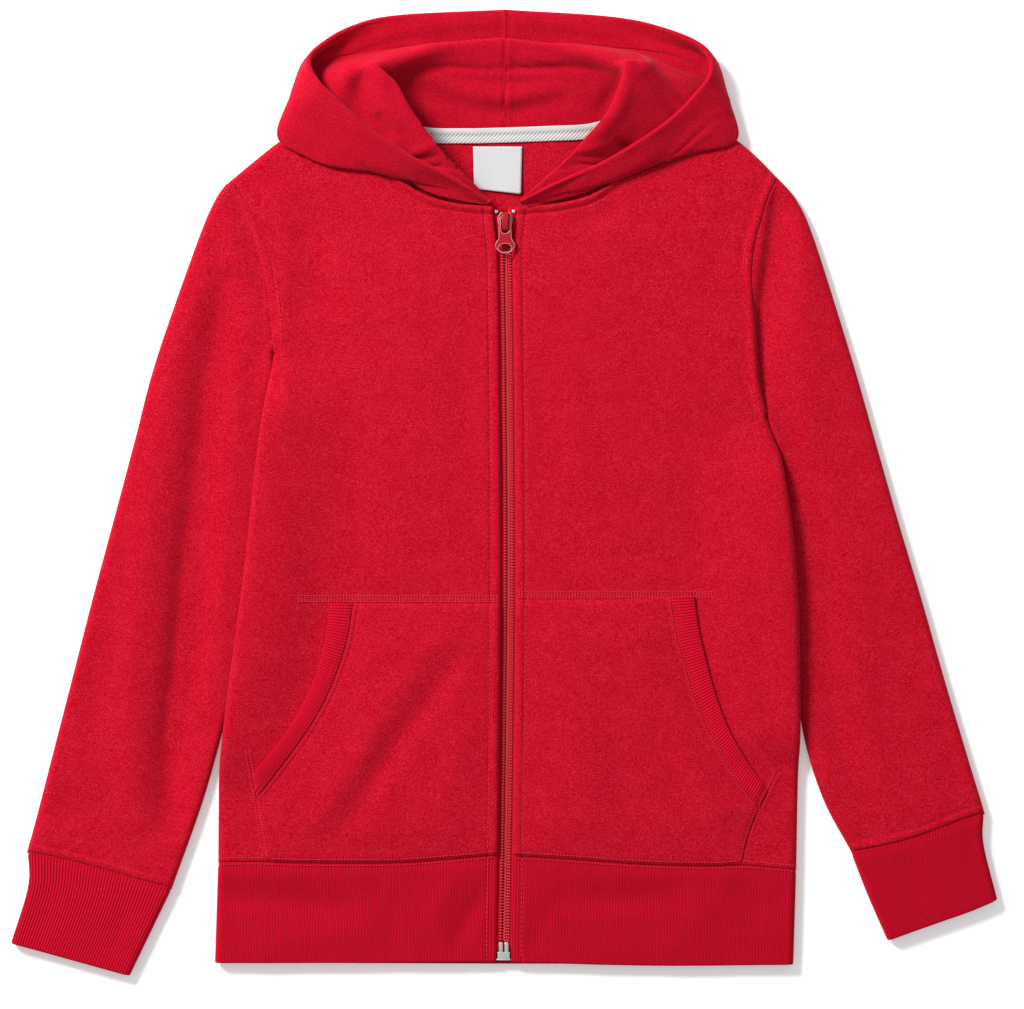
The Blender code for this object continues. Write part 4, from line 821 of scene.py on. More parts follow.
# Part of the body's rows that lie beside the armhole, and the lengths of both parts.
bodyRowsShare = 0.3
besideArm, belowArm = 130.0, 310.0
fineEdge = (0.0, 0.25, 0.6, 1.1, 1.8, 2.8, 3.8, 4.6, 5.2, 5.7, 6.2, 6.8, 7.8, 9.5)
foldEdge = (0.0, 0.14, 0.54, 1.17, 2.0, 2.96, 4.0, 6.0)


def outlineShare(half, d):
    armPart = runLengths(half["armhole"])[-1] / runLengths(half["outline"])[-1]
    return np.interp(d, [0.0, bodyRowsShare, 1.0], [0.0, armPart, 1.0])


# Shares down the body's grids: fine at the neck, the underarm and the hem.
def bodyRows(step):
    beside = stepsFrom(fineEdge, besideArm, step) / besideArm * bodyRowsShare
    below = stepsFrom((0.0, 1.2, 3.0), belowArm, step, fineEdge[:11]) / belowArm
    return np.concatenate([beside, bodyRowsShare + (1 - bodyRowsShare) * below[1:]])


def makeFront(half):
    name = "front_" + half["name"]
    hem = half["hem"] + np.array([0.0, 0.1])
    zipLine = zipEdge(half, half["neck"][0, 1], hem[0, 1])
    top = half["top"].copy()
    top[0] = zipLine[0]
    bottom = hem.copy()
    bottom[0] = zipLine[-1]
    a = stepsFrom(fineEdge, front["width"], front["cell"], foldEdge) / front["width"]
    d = bodyRows(front["cell"])
    a, d = np.meshgrid(a, d)
    plan = patch(top, bottom, zipLine, half["outline"], a, d, outlineShare(half, d))
    z = frontHeight(half, plan)
    grid = np.dstack([plan, z])
    turned = grid.copy()
    turned[0, :, 2] = np.maximum(turned[0, :, 2] - front["turn"], front["turnFloor"])
    turned[-1, :, 1] -= front["hemTurn"]
    turned[-1, :, 2] = np.maximum(turned[-1, :, 2] - front["hemTurn"], front["turnFloor"])
    grid = np.concatenate([turned[:1], grid, turned[-1:]], axis=0)
    inner = grid[:, :1].copy()
    inner[..., 2] = np.minimum(inner[..., 2], front["zipTurnTop"])
    outer = grid[:, -1:].copy()
    beside = np.concatenate([d[:1, 0], d[:, 0], d[-1:, 0]]) < bodyRowsShare + 0.008
    outer[beside, 0, 2] = np.maximum(outer[beside, 0, 2] - front["turn"], front["turnFloor"])
    outer[beside, 0, 0] += half["sign"] * front["armReach"]
    outer[~beside, 0, 2] -= 0.3
    grid = np.concatenate([inner, grid, outer], axis=1)
    obj = gridObject(name + "_cloth", grid, arcs(grid, 1), arcs(grid, 0),
                     flip=half["sign"] > 0)
    # the neck and the armhole take about a ninth of the rectangle
    dress(obj, fleece, [name])


for half in halves.values():
    makeFront(half)
print("fronts ready")


# Back.
back = {"height": 8.0, "wall": 2.2, "cell": 5.0, "width": 330.0}


def makeBack():
    right, left = halves["right"], halves["left"]
    neckRight = joined(backNeck["right"])
    neckLeft = joined(backNeck["left"])
    top = np.vstack([right["shoulder"][::-1], neckRight[1:], neckLeft[::-1][1:],
                     left["shoulder"][1:]])
    hemY = (right["hem"][-1, 1] + left["hem"][-1, 1]) / 2 + 0.1
    bottom = joined([(right["hem"][-1, 0], right["hem"][-1, 1] + 0.1), (0.0, hemY),
                     (left["hem"][-1, 0], left["hem"][-1, 1] + 0.1)])
    a = stepsFrom(foldEdge, back["width"], back["cell"], foldEdge) / back["width"]
    d = bodyRows(back["cell"])
    a, d = np.meshgrid(a, d)
    nearShare = outlineShare(right, d)
    farShare = outlineShare(left, d)
    nearAt = along(right["outline"], nearShare)
    plan = patch(top, bottom, right["outline"], left["outline"], a, d, farShare)
    plan += (1 - a[..., None]) * (nearAt - along(right["outline"], d))
    gap = np.minimum(distanceTo(right["side"], plan), distanceTo(left["side"], plan))
    arm = np.minimum(distanceTo(right["armhole"], plan), distanceTo(left["armhole"], plan))
    for half in (right, left):
        gap = np.minimum(gap, distanceTo(half["shoulder"], plan))
    z = (bodyLift(plan, [right, left]) + back["height"] / 2 - foldRise(gap, back["height"]))
    z += edgeDrop(arm, 0.8)
    grid = np.dstack([plan, z])
    obj = gridObject("back_cloth", grid, arcs(grid, 1), arcs(grid, 0))
    walled(obj, back["wall"])
    # the shoulders, armholes and neck are cut out of the rectangle
    dress(obj, fleece, ["back"])


makeBack()
print("back ready")


# Sleeves.
# Each sink is a depth, a width, a sharpness and a starting share beside the armhole.
sleeve = {"height": 8.0, "cell": 2.6, "underCell": 9.0, "width": 100.0, "length": 410.0,
          "fold": 4.2, "fade": 4.0, "roll": 1.0, "waves": 0.4, "tuck": 1.8, "press": 0.4,
          "sink": {"right": (1.4, 9.0, 2.0, 0.0), "left": (4.6, 6.5, 1.2, 0.42)}}
sleeveCreases = {
    "right": [
        crease(9.5, -4.9, (-170, 136), (-180, 76), (-187, 16), (-192, -37), (-195, -78),
               (-200, -126), (-205, -167), (-207, -212), farWidth=17, fade=0.35),
        crease(13, 1.6, (-184, 140), (-202, 76), (-212, 16), (-218, -37), (-222, -78),
               (-226, -126), (-229, -170), (-228, -214), fade=0.35),
        crease(9, 0.7, (-219, -10), (-226, -90), (-230, -150), (-229, -206), fade=0.35),
        crease(8, -1.3, (-193, -10), (-199, -90), (-204, -150), (-206, -206), fade=0.35),
        crease(8, 1.4, (-160, 118), (-162, 60), (-167, 0), (-175, -80), (-186, -150)),
        crease(7, 1.0, (-172, 172), (-163, 146), (-157, 120)),
        crease(13, -0.9, (-243, -60), (-250, -110), (-256, -160)),
        crease(8, -0.6, (-205, 110), (-222, 50), (-236, -10)),
        crease(10, -0.9, (-276, -176), (-256, -196), (-236, -214)),
    ],
    "left": [
        crease(3.2, -3.6, (169, 190), (165.9, 180), (161.7, 154), (157.2, 117), (154.6, 87),
               (156, 58), farWidth=15, fade=0.3),
        crease(13, 1.6, (184, 168), (180, 130), (184, 90), (196, 30)),
        crease(18, 1.0, (205, 120), (218, 60), (236, -20), (252, -100)),
        crease(10, -1.2, (184, 40), (192, -20), (198, -80), (204, -130)),
        crease(16, -0.8, (206, 90), (222, 0), (240, -90), (252, -170)),
        crease(8, -1.2, (196, -120), (206, -160), (222, -196)),
        crease(9, 1.0, (218, -140), (232, -172), (248, -198)),
        crease(9, -0.8, (262, -120), (272, -160), (278, -188)),
    ],
}


# Height of the sleeve's upper face, given the height of its pressed tube.
def sleeveTopHeight(half, plan, height):
    gap = np.minimum(distanceTo(half["sleeveOuter"], plan), distanceTo(half["sleeveInner"], plan))
    arm = distanceTo(half["armhole"], plan)
    end = distanceTo(half["cuffSeam"], plan)
    settled = ease(gap / 12.0) * ease(arm / 2.4) * ease(end / 9.0)
    z = settled * (creased(plan, sleeveCreases[half["name"]])
                   + sleeve["waves"] * unevenness(plan, 22.0, 4.1 + half["sign"]))
    z += 0.4 * np.exp(-((end - 2.6) / 1.8) ** 2) - 0.4 * groove(end, 4.6, 0.8)
    share = nearest(half["armhole"], plan)[1]
    depth, width, sharpness, begin = sleeve["sink"][half["name"]]
    z -= (depth * np.exp(-(arm / width) ** sharpness) * ease((share - begin) / 0.25)
          * ease(gap / 8.0))
    roll = sleeve["roll"] * (0.6 if half["sign"] < 0 else 1.0)
    z -= edgeDrop(np.minimum(arm, end), roll) * ease(gap / 3.0)
    return np.maximum(z + height, 2.0 + 0.1 * height)


def sleeveHeightAt(half, a, d):
    inner = along(half["sleeveInner"], d)[..., 2]
    return sleeve["height"] + (inner - sleeve["height"]) * ease((a - 0.45) / 0.35)


# A seam edge tucked under its neighbour: moved on in a direction and pressed flatter.
def tuckedRow(edge, direction):
    row = edge.copy()
    row[..., :2] += unit(direction) * sleeve["tuck"]
    middle = sleeve["height"] / 2
    row[..., 2] = middle + (row[..., 2] - middle) * sleeve["press"]
    return row[None]


def makeSleeve(half):
    name = "sleeve_" + half["name"]
    width, length = sleeve["width"], sleeve["length"]
    top = [sleeve["fold"] * (1.0 - math.cos(math.radians(t)))
           for t in (0, 15, 30, 45, 60, 75, 90)]
    shares = stepsFrom(top, width, sleeve["cell"], top) / width
    under = stepsFrom(top, width, sleeve["underCell"], top)[::-1][1:-1] / width
    d = stepsFrom((0.0, 0.2, 0.5, 1.0, 1.7, 2.8, 4.5), length, sleeve["cell"],
                  (0.0, 0.25, 0.6, 1.1, 1.8, 2.8, 3.8, 4.6, 5.4, 6.6)) / length
    grids = []
    for steps, up in ((shares, True), (under, False)):
        a, rows = np.meshgrid(steps, d)
        plan = patch(half["sleeveTop"], half["cuffSeam"], half["sleeveOuter"],
                     half["sleeveInner"], a, rows, fade=sleeve["fade"])
        height = sleeveHeightAt(half, a, rows)
        gap = np.minimum(distanceTo(half["sleeveOuter"], plan),
                         distanceTo(half["sleeveInner"], plan))
        gap[(a < 1e-9) | (a > 1.0 - 1e-9)] = 0.0
        bulge = foldRise(gap, sleeve["height"]) / sleeve["height"] * height
        if up:
            z = sleeveTopHeight(half, plan, height / 2 + bulge)
        else:
            z = height / 2 - bulge
        grids.append(np.dstack([plan, z]))
    grid = np.hstack(grids)
    collar = tuckedRow(grid[0], np.array([-half["sign"], -0.15]))
    tail = tuckedRow(grid[-1], grid[-1, :, :2] - grid[-5, :, :2])
    grid = np.concatenate([collar, grid, tail], axis=0)
    obj = gridObject(name + "_cloth", grid, arcs(grid, 1), arcs(grid, 0), closed=True,
                     flip=half["sign"] < 0)
    # a tapered tube with a rounded head
    dress(obj, fleece, [name])


for half in halves.values():
    makeSleeve(half)
print("sleeves ready")


# Ribs.
ribbing = {"pitch": 1.75, "relief": 0.34, "perRib": 6, "wall": 2.4, "seamLap": 0.35}
cuff = {"height": 7.6, "width": 86.0, "length": 56.0, "cell": 4.0}
ribEdge = (0.0, 0.3, 0.8, 1.5, 2.4, 3.4)


# Rounded rib wales with narrow grooves between them.
def wale(u, pitch):
    return np.abs(np.sin(math.pi * u / pitch)) ** 0.7


# Points on a flattened tube's section at shares of its girth: distance across, and height.
def stadium(share, width, height):
    r = height / 2
    quarter, straight = math.pi * r / 2, width - height
    marks = np.cumsum([0.0, quarter, straight, 2 * quarter, straight, quarter])
    s = share * marks[-1]
    part = np.searchsorted(marks[1:5], s)
    turn = (s - marks[part]) / r
    x = np.choose(part, [r - r * np.cos(turn), r + s - marks[1], width - r + r * np.sin(turn),
                         width - r - (s - marks[3]), r - r * np.sin(turn)])
    z = np.choose(part, [r + r * np.sin(turn), height, r + r * np.cos(turn), 0.0,
                         r - r * np.cos(turn)])
    return x, z


# Turn both ends of a rib tube inwards, as a lip of doubled cloth.
def lipped(grid, outward):
    inside = grid - outward * ribbing["wall"]
    return np.concatenate([inside[5:6], inside[:1], grid, inside[-1:], inside[-6:-5]])


cuffCreases = {
    "right": [
        crease(6.0, -0.5, (-276, -232), (-280, -256), (-290, -276)),
        crease(7.0, -0.6, (-225, -246), (-234, -262), (-244, -284)),
    ],
    "left": [
        crease(7.0, -0.6, (240, -222), (250, -242), (258, -258)),
        crease(6.0, -0.5, (282, -206), (284, -226), (290, -244)),
    ],
}


def makeCuff(half):
    name = "cuff_" + half["name"]
    rows = cuffRows[half["name"]]
    seam = half["cuffSeam"] + np.array([half["sign"] * sleeveGap, -ribbing["seamLap"]])
    middle = joined([(r[2], r[3]) for r in rows])
    end = half["cuffEnd"]
    outer = joined([seam[0], middle[0], end[0]])
    inner = joined([seam[-1], middle[-1], end[-1]])
    height = cuff["height"]
    ribs = int(round(2 * cuff["width"] / ribbing["pitch"]))
    columns = ribs * ribbing["perRib"]
    s = np.arange(columns) / columns
    d = stepsFrom(ribEdge, cuff["length"], cuff["cell"], ribEdge[:4]) / cuff["length"]
    grid = np.zeros((len(d), columns, 3))
    for i, share in enumerate(d):
        ends = along(outer, np.array(share)), along(inner, np.array(share))
        width = np.linalg.norm(ends[0] - ends[1])
        x, z = stadium(s, width, height)
        a = x / width
        grid[i, :, :2] = patch(seam, end, outer, inner, a, np.full(a.shape, share))
        grid[i, :, 2] = z
    plan = grid[..., :2]
    seamGap = distanceTo(seam, plan)
    endGap = distanceTo(end, plan)
    dent = creased(plan, cuffCreases[half["name"]])
    outward = gridNormals(grid, closed=True) * half["sign"]
    crown = np.clip(grid[..., 2] / height * 2.0 - 1.0, 0.0, 1.0)
    grid[..., 2] += crown * dent * ease(seamGap / 6.0)
    drop = edgeDrop(np.minimum(seamGap, endGap), 1.0) + 0.3 * groove(seamGap, 2.2, 0.8)
    relief = ribbing["relief"] * wale(np.arange(columns) / ribbing["perRib"], 1.0)
    relief = relief * ease(seamGap / 3.0)
    grid -= outward * (ribbing["relief"] - relief + drop)[..., None]
    grid[..., 2] = np.maximum(grid[..., 2], 0.0)
    grid = lipped(grid, outward)
    u = np.tile(np.arange(columns) / ribbing["perRib"] * ribbing["pitch"], (len(grid), 1))
    obj = gridObject(name + "_rib", grid, u, arcs(grid, 0), closed=True,
                     flip=half["sign"] < 0)
    dress(obj, rib, [name])


for half in halves.values():
    makeCuff(half)

waist = {"height": 8.0, "length": 64.0, "cell": 4.4, "waves": 0.3, "flatByZip": 7.0}
waistCreases = {
    "right": [
        crease(9, -2.4, (-184, -246), (-140, -248), (-104, -251), (-72, -245)),
        crease(6, -1.5, (-34, -282), (-22, -258), (-8, -238)),
        crease(6, 0.9, (-50, -270), (-38, -248), (-26, -228)),
        crease(8, 0.7, (-160, -284), (-120, -272), (-80, -270)),
        crease(7, -0.6, (-64, -284), (-70, -262), (-62, -240)),
    ],
    "left": [
        crease(8, -1.8, (30, -244), (60, -248), (90, -247), (116, -242)),
        crease(7, -0.8, (14, -282), (22, -262), (34, -246)),
        crease(8, 0.7, (92, -284), (112, -266), (132, -252)),
        crease(8, -1.1, (136, -240), (152, -250), (172, -252)),
    ],
}


# One strip from the zip round the side, the back and the other side to the zip: its
# points for each row, and how far along it each column is.
def waistGrid(d):
    ends, widths = {}, {}
    for name, half in halves.items():
        seam = half["hem"] - [0.0, ribbing["seamLap"]]
        edge = half["edge"].copy()
        for line in (seam, edge):
            line[0, 0] = zipX(line[0, 1]) + half["sign"] * zipHalfGap
        ends[name] = (seam, edge)
        widths[name] = abs(seam[-1, 0] - seam[0, 0])
    r = waist["height"] / 2
    arc = math.pi * r
    whole = widths["right"] + widths["left"] + 2 * zipHalfGap
    marks = np.cumsum([0.0, widths["right"] - r, arc, whole - 2 * r, arc, widths["left"] - r])
    ribs = int(round(marks[-1] / ribbing["pitch"]))
    s = np.linspace(0.0, marks[-1], ribs * ribbing["perRib"] + 1)
    grid = np.zeros((len(d), len(s), 3))
    for i, share in enumerate(d):
        rightEnd, leftEnd = [ends[name][0][-1] * (1 - share) + ends[name][1][-1] * share
                             for name in ("right", "left")]
        for part in range(5):
            here = (s >= marks[part]) & (s <= marks[part + 1])
            t = s[here] - marks[part]
            if part in (0, 4):
                name = "right" if part == 0 else "left"
                seam, edge = ends[name]
                a = t / widths[name] if part == 0 else 1.0 - (t + r) / widths[name]
                plan = along(seam, a) * (1 - share) + along(edge, a) * share
                z = waist["height"]
            else:
                inset = (r - r * np.sin(t / r)) / whole
                a = (inset, (r + t) / whole, 1.0 - inset)[part - 1]
                z = (r + r * np.cos(t / r), 0.0, r - r * np.cos(t / r))[part - 1]
                plan = rightEnd + (leftEnd - rightEnd) * a[:, None]
            grid[i, here, :2] = plan
            grid[i, here, 2] = z
    return grid, s


def makeWaistband():
    r, length = waist["height"] / 2, waist["length"]
    d = stepsFrom(ribEdge, length, waist["cell"], ribEdge[:4]) / length
    grid, s = waistGrid(d)
    outward = gridNormals(grid)
    crown = np.clip(grid[..., 2] / r - 1.0, 0.0, 1.0)
    plan = grid[..., :2]
    dent = creased(plan, waistCreases["right"]) + creased(plan, waistCreases["left"])
    depth = d[:, None] * length
    seamGap = np.broadcast_to(depth, crown.shape)
    endGap = np.broadcast_to(length - depth, crown.shape)
    zipGap = np.minimum(s, s[-1] - s)[None, :]
    grid[..., 2] += crown * (dent * ease(seamGap / 5.0) * ease(zipGap / 12.0)
                             + waist["waves"] * unevenness(plan, 15.0, 2.3)
                             * ease(seamGap / 8.0))
    drop = edgeDrop(np.minimum(seamGap, endGap), 1.0) + 0.3 * groove(seamGap, 2.2, 0.8)
    drop += edgeDrop(np.broadcast_to(zipGap, crown.shape), 1.5)
    drop += 0.4 * groove(zipGap, front["zipStitch"], 0.8)
    relief = ribbing["relief"] * wale(s, ribbing["pitch"])[None, :] * ease(seamGap / 3.0)
    relief = relief * ease((zipGap - waist["flatByZip"]) / 1.5)
    grid += outward * (relief - ribbing["relief"] - drop)[..., None]
    grid[..., 2] = np.maximum(grid[..., 2], 0.0)
    grid = lipped(grid, outward)
    sides = grid[:, [0, -1]].copy()
    sides[..., 2] = 5.0
    grid = np.concatenate([sides[:, :1], grid, sides[:, 1:]], axis=1)
    u = np.tile(np.concatenate([s[:1], s, s[-1:]]), (len(grid), 1))
    obj = gridObject("waistband_rib", grid, u, arcs(grid, 0))
    dress(obj, rib, ["waistband"])


makeWaistband()
print("ribs ready")


# Pockets.
pocket = {"wall": 2.2, "sunk": 0.62, "base": 8.1, "puff": 1.7, "waves": 0.35, "cell": 2.8,
          "width": 120.0, "length": 157.0, "turn": 1.6, "turnTop": 8.0, "hemTurn": 1.0,
          "sideReach": 0.8}
pocketCreases = {
    "right": [
        crease(8, 1.3, (-34, -76), (-60, -114), (-82, -150), (-103, -184), (-124, -212),
               fade=0.4),
        crease(8, -2.0, (-22, -92), (-48, -128), (-70, -160), (-90, -192), (-110, -220),
               fade=0.4),
        crease(3, -1.1, (-75, -128), (-71, -132), (-67, -136)),
        crease(9, -0.8, (-84, -100), (-104, -140), (-126, -176)),
        crease(9, 0.7, (-20, -140), (-34, -180), (-50, -214)),
    ],
    "left": [
        crease(13, 0.7, (26, -100), (46, -160), (54, -214)),
        crease(11, -1.0, (86, -140), (108, -184), (130, -216)),
        crease(9, 0.7, (100, -120), (118, -160), (134, -196)),
        crease(13, -0.6, (60, -84), (72, -140), (78, -200)),
    ],
}


def pocketLines(half):
    mouth = pocketMouth[half["name"]]
    topY = pocketTopY[half["name"]]
    hemY = half["hem"][0, 1] + 0.4
    zipLine = zipEdge(half, topY, hemY)
    inner = [(r[2], r[3]) for r in mouth]
    sideLine = joined(inner, [inner[-1], *pocketSide[half["name"]][1:]])
    top = joined([tuple(zipLine[0]), ((zipLine[0, 0] + inner[0][0]) / 2, topY), inner[0]])
    corner = pocketSide[half["name"]][-1]
    bottom = along(half["hem"], np.linspace(0.0, abs(corner[0]) / 176.0, 30)) + [0.0, 0.1]
    bottom[0] = zipLine[-1]
    bottom[-1] = corner
    shortSide = joined([inner[-1], *pocketSide[half["name"]][1:]])
    return {"zip": zipLine, "side": sideLine, "top": top, "bottom": bottom,
            "mouth": joined(inner), "short": shortSide}


# Height of a pocket's face over points in plan.
def pocketHeight(half, lines, plan):
    topGap = distanceTo(lines["top"], plan)
    sideGap = distanceTo(lines["side"], plan)
    shortGap = distanceTo(lines["short"], plan)
    hemGap = distanceTo(lines["bottom"], plan)
    zipGap = half["sign"] * (plan[..., 0] - zipX(plan[..., 1])) - zipHalfGap
    a = ease(zipGap / 30.0) * ease(sideGap / 24.0)
    d = ease(topGap / 30.0) * ease(hemGap / 26.0)
    base = np.maximum(frontHeight(half, plan), pocket["base"])
    base += pocket["wall"] * pocket["sunk"]
    z = base + a * d * (pocket["puff"] + creased(plan, pocketCreases[half["name"]])
                        + pocket["waves"] * unevenness(plan, 20.0, 5.5 + half["sign"]))
    low = np.minimum(np.minimum(topGap, shortGap), hemGap)
    z -= 0.9 * np.exp(-(low / 2.2) ** 2) * (low < 60.0)
    z -= edgeDrop(low, 0.8) + edgeDrop(sideGap, 0.4)
    z -= 0.35 * groove(zipGap, front["zipStitch"], 0.8)
    z -= 0.35 * groove(distanceTo(lines["mouth"], plan), 3.2, 0.8)
    z += 0.3 * np.exp(-((zipGap - 3.0) / 2.4) ** 2)
    z -= edgeDrop(np.maximum(zipGap, 0.0), 1.7)
    return z


def makePocket(half):
    name = "pocket_" + half["name"]
    lines = pocketLines(half)
    width, length = pocket["width"], pocket["length"]
    a = stepsFrom(fineEdge, width, pocket["cell"], fineEdge[:9]) / width
    d = stepsFrom(fineEdge[:7], length, pocket["cell"], fineEdge[:7]) / length
    a, d = np.meshgrid(a, d)
    plan = patch(lines["top"], lines["bottom"], lines["zip"], lines["side"], a, d)
    z = pocketHeight(half, lines, plan)
    grid = np.dstack([plan, z])
    turned = grid.copy()
    turned[..., 2] = np.minimum(turned[..., 2] - pocket["turn"], pocket["turnTop"])
    turned[-1, :, 1] -= pocket["hemTurn"]
    grid = np.concatenate([turned[:1], grid, turned[-1:]], axis=0)
    sides = grid[:, [0, -1]].copy()
    sides[..., 2] = np.minimum(sides[..., 2] - pocket["turn"], pocket["turnTop"])
    sides[:, 1, 0] += half["sign"] * pocket["sideReach"]
    grid = np.concatenate([sides[:, :1], grid, sides[:, 1:]], axis=1)
    obj = gridObject(name + "_cloth", grid, arcs(grid, 1), arcs(grid, 0),
                     flip=half["sign"] > 0)
    dress(obj, fleece, [name])


binding = {"pitch": 1.78, "relief": 0.4, "crown": 1.0, "perRib": 6, "rise": 1.2,
           "width": 14.0}


# Height of the cloth that a binding is sewn on.
def bindingBase(half, plan):
    return np.maximum(frontHeight(half, plan) + 0.4, 8.3)


def makeBinding(half):
    name = "pocket_binding_" + half["name"]
    mouth = pocketMouth[half["name"]]
    outer = joined([(r[0], r[1]) for r in mouth])
    inner = joined([(r[2], r[3]) for r in mouth])
    length = (runLengths(outer)[-1] + runLengths(inner)[-1]) / 2
    rows = int(round(length / binding["pitch"])) * binding["perRib"] + 1
    d = np.linspace(0.0, 1.0, rows)
    across = np.array([0.0, 0.0, 0.02, 0.06, 0.12, 0.2, 0.3, 0.42, 0.55, 0.68, 0.8, 0.9, 0.97,
                       1.0, 1.06])
    a, d = np.meshgrid(across, d)
    plan = (1 - a[..., None]) * along(outer, d) + a[..., None] * along(inner, d)
    crown = np.clip(4.0 * a * (1.0 - a), 0.0, 1.0) ** 0.5
    z = bindingBase(half, plan) + binding["rise"] + binding["crown"] * crown
    z += binding["relief"] * (wale(d * length, binding["pitch"]) - 1.0)
    z -= 0.35 * np.exp(-((a - 0.72) / 0.05) ** 2)
    z -= 0.5 * ease((a - 0.78) / 0.22)
    z -= 1.5 * (1.0 - ease((1.0 - d) / 0.05))
    z[:, 0] -= 1.6
    z[:, -1] -= 0.6
    z[-1] -= 0.8
    grid = np.dstack([plan, z])
    obj = gridObject(name + "_rib", grid, d * length, a * binding["width"],
                     flip=half["sign"] < 0)
    dress(obj, bindingRib, [name])


for half in halves.values():
    makePocket(half)
    makeBinding(half)
print("pockets ready")


# Hood.
hood = {"wall": 2.0, "hem": 24.0, "hemWall": 1.2, "around": 18, "along": 22,
        "waves": 0.35}
# Where the parts of the hood end or begin, as shares from the neck seam to the face edge;
# the ring's own start is a share of the way from the zip to the centre seam.
hoodParts = {"backEnd": 0.36, "lobeFrom": 0.38, "lobeEnd": 0.6, "lobeEndBehind": 0.5,
             "ringFrom": 0.52, "rimFrom": 0.8, "ringStart": 0.58}
# Creases by the part of the hood that they lie on: inside the back, on the lobes that
# roll over beside the neck, on the flat ring behind, and outside on the rim.
hoodBack = [
    crease(2.8, -1.4, (-72, 252), (-40, 258.5), (-13, 258), (14, 258), (44, 259), (70, 254),
           fade=0.5),
    crease(4, 1.3, (-52, 254), (-22, 244), (-3, 240.6), (18, 243), (40, 248)),
    crease(5, -1.3, (-54, 246), (-27, 236), (-3, 232), (20, 236), (44, 241)),
    crease(3, -0.8, (-30, 254), (-3, 250), (26, 252)),
    crease(1.6, 0.9, (-14, 263), (-8, 258), (-2, 256)),
    crease(1.8, -1.2, (2, 266), (8, 260), (16, 257)),
    crease(2.5, 0.8, (10, 268), (22, 264), (36, 262)),
    crease(5, -1.8, (-66, 258), (-58, 244), (-50, 230)),
    crease(5, -1.8, (72, 258), (65, 243), (56, 230)),
]
hoodLobe = {
    "right": [
        crease(5, 2.6, (-93, 264), (-98, 246), (-98, 230)),
        crease(5, -2.8, (-84, 262), (-88, 243), (-80, 222)),
        crease(5, 1.8, (-74, 260), (-74, 238), (-62, 220)),
        crease(4, -2.4, (-77, 231), (-75, 222), (-70, 213)),
        crease(2.6, 1.3, (-58, 206), (-48, 209), (-41, 212)),
        crease(2.2, -1.2, (-60, 202), (-50, 203.5), (-38, 204)),
        crease(1.2, -1.2, (-47, 197.6), (-37, 198.9), (-29, 198.8), fade=0.3),
    ],
    "left": [
        crease(3.0, 3.4, (76, 268), (90, 254), (104, 240), (110, 230)),
        crease(6, -4.6, (86, 258), (100, 244), (112, 230)),
        crease(4.5, 1.2, (70, 262), (72, 240), (60, 220), (44, 202)),
        crease(3.2, -2.4, (67, 214.5), (73, 211), (80, 207.5)),
        crease(5, -1.2, (84, 222), (70, 206), (54, 201)),
        crease(2.4, 1.2, (44, 209), (54, 210), (64, 213)),
        crease(2.0, -1.0, (42, 204.5), (52, 205), (62, 207)),
        crease(1.2, -1.3, (35, 200.4), (47, 200.2), (60, 198.8), fade=0.3),
    ],
}
hoodRing = {
    "right": [
        crease(5, 1.1, (-112, 262), (-84, 276), (-44, 285), (6, 288)),
        crease(5, -1.4, (-110, 254), (-88, 268), (-56, 276)),
        crease(4, -0.6, (-64, 290), (-60, 282), (-52, 274)),
    ],
    "left": [
        crease(5, 1.1, (-6, 288), (44, 285), (84, 275), (112, 262)),
        crease(3.5, -1.8, (78, 266), (100, 258), (120, 253)),
        crease(4, 1.0, (84, 272), (106, 264), (120, 260)),
    ],
}
hoodRim = {
    "right": [
        crease(6, -1.0, (-128, 232), (-112, 222), (-90, 204)),
        crease(1.6, -0.5, (-131, 228), (-122, 217), (-109, 203)),
        crease(5, 0.8, (-104, 216), (-80, 200), (-54, 188)),
        crease(4, -0.7, (-52, 196), (-36, 188), (-22, 182)),
    ],
    "left": [
        crease(6, -1.0, (130, 238), (112, 222), (92, 206)),
        crease(1.3, -1.1, (133, 230), (120.8, 221), (111, 212.5), (100, 202), fade=0.3),
        crease(5, 0.9, (104, 214), (80, 200), (54, 188)),
        crease(4, -0.7, (50, 196), (34, 188), (22, 182)),
    ],
}


# Middle of the hood's cloth: a row for each step round the neck.
def hoodGrid(half):
    rows = np.array(hoodRows[half["name"]], float)
    sections = np.stack([smoothRun(row, hood["along"]) for row in rows])
    grid = smoothRun(sections, hood["around"])
    grid[..., 2] = np.maximum(grid[..., 2], hood["wall"] / 2)
    grid[-1, :, 0] = half["sign"] * 0.12
    return grid


# Both faces of a cloth from its middle, with a rounded edge at the last column.
def bothFaces(grid, normal, thickness):
    reach = unit(grid[:, -1] - grid[:, -3])
    offset = normal * thickness[..., None] / 2
    end = []
    for angle in np.radians((75, 45, 15, -15, -45, -75)):
        end.append(grid[:, -1] + (reach * math.cos(angle) + normal[:, -1] * math.sin(angle))
                   * thickness[:, -1:] / 2)
    return np.concatenate([grid + offset, np.stack(end, axis=1), (grid - offset)[:, ::-1]],
                          axis=1)


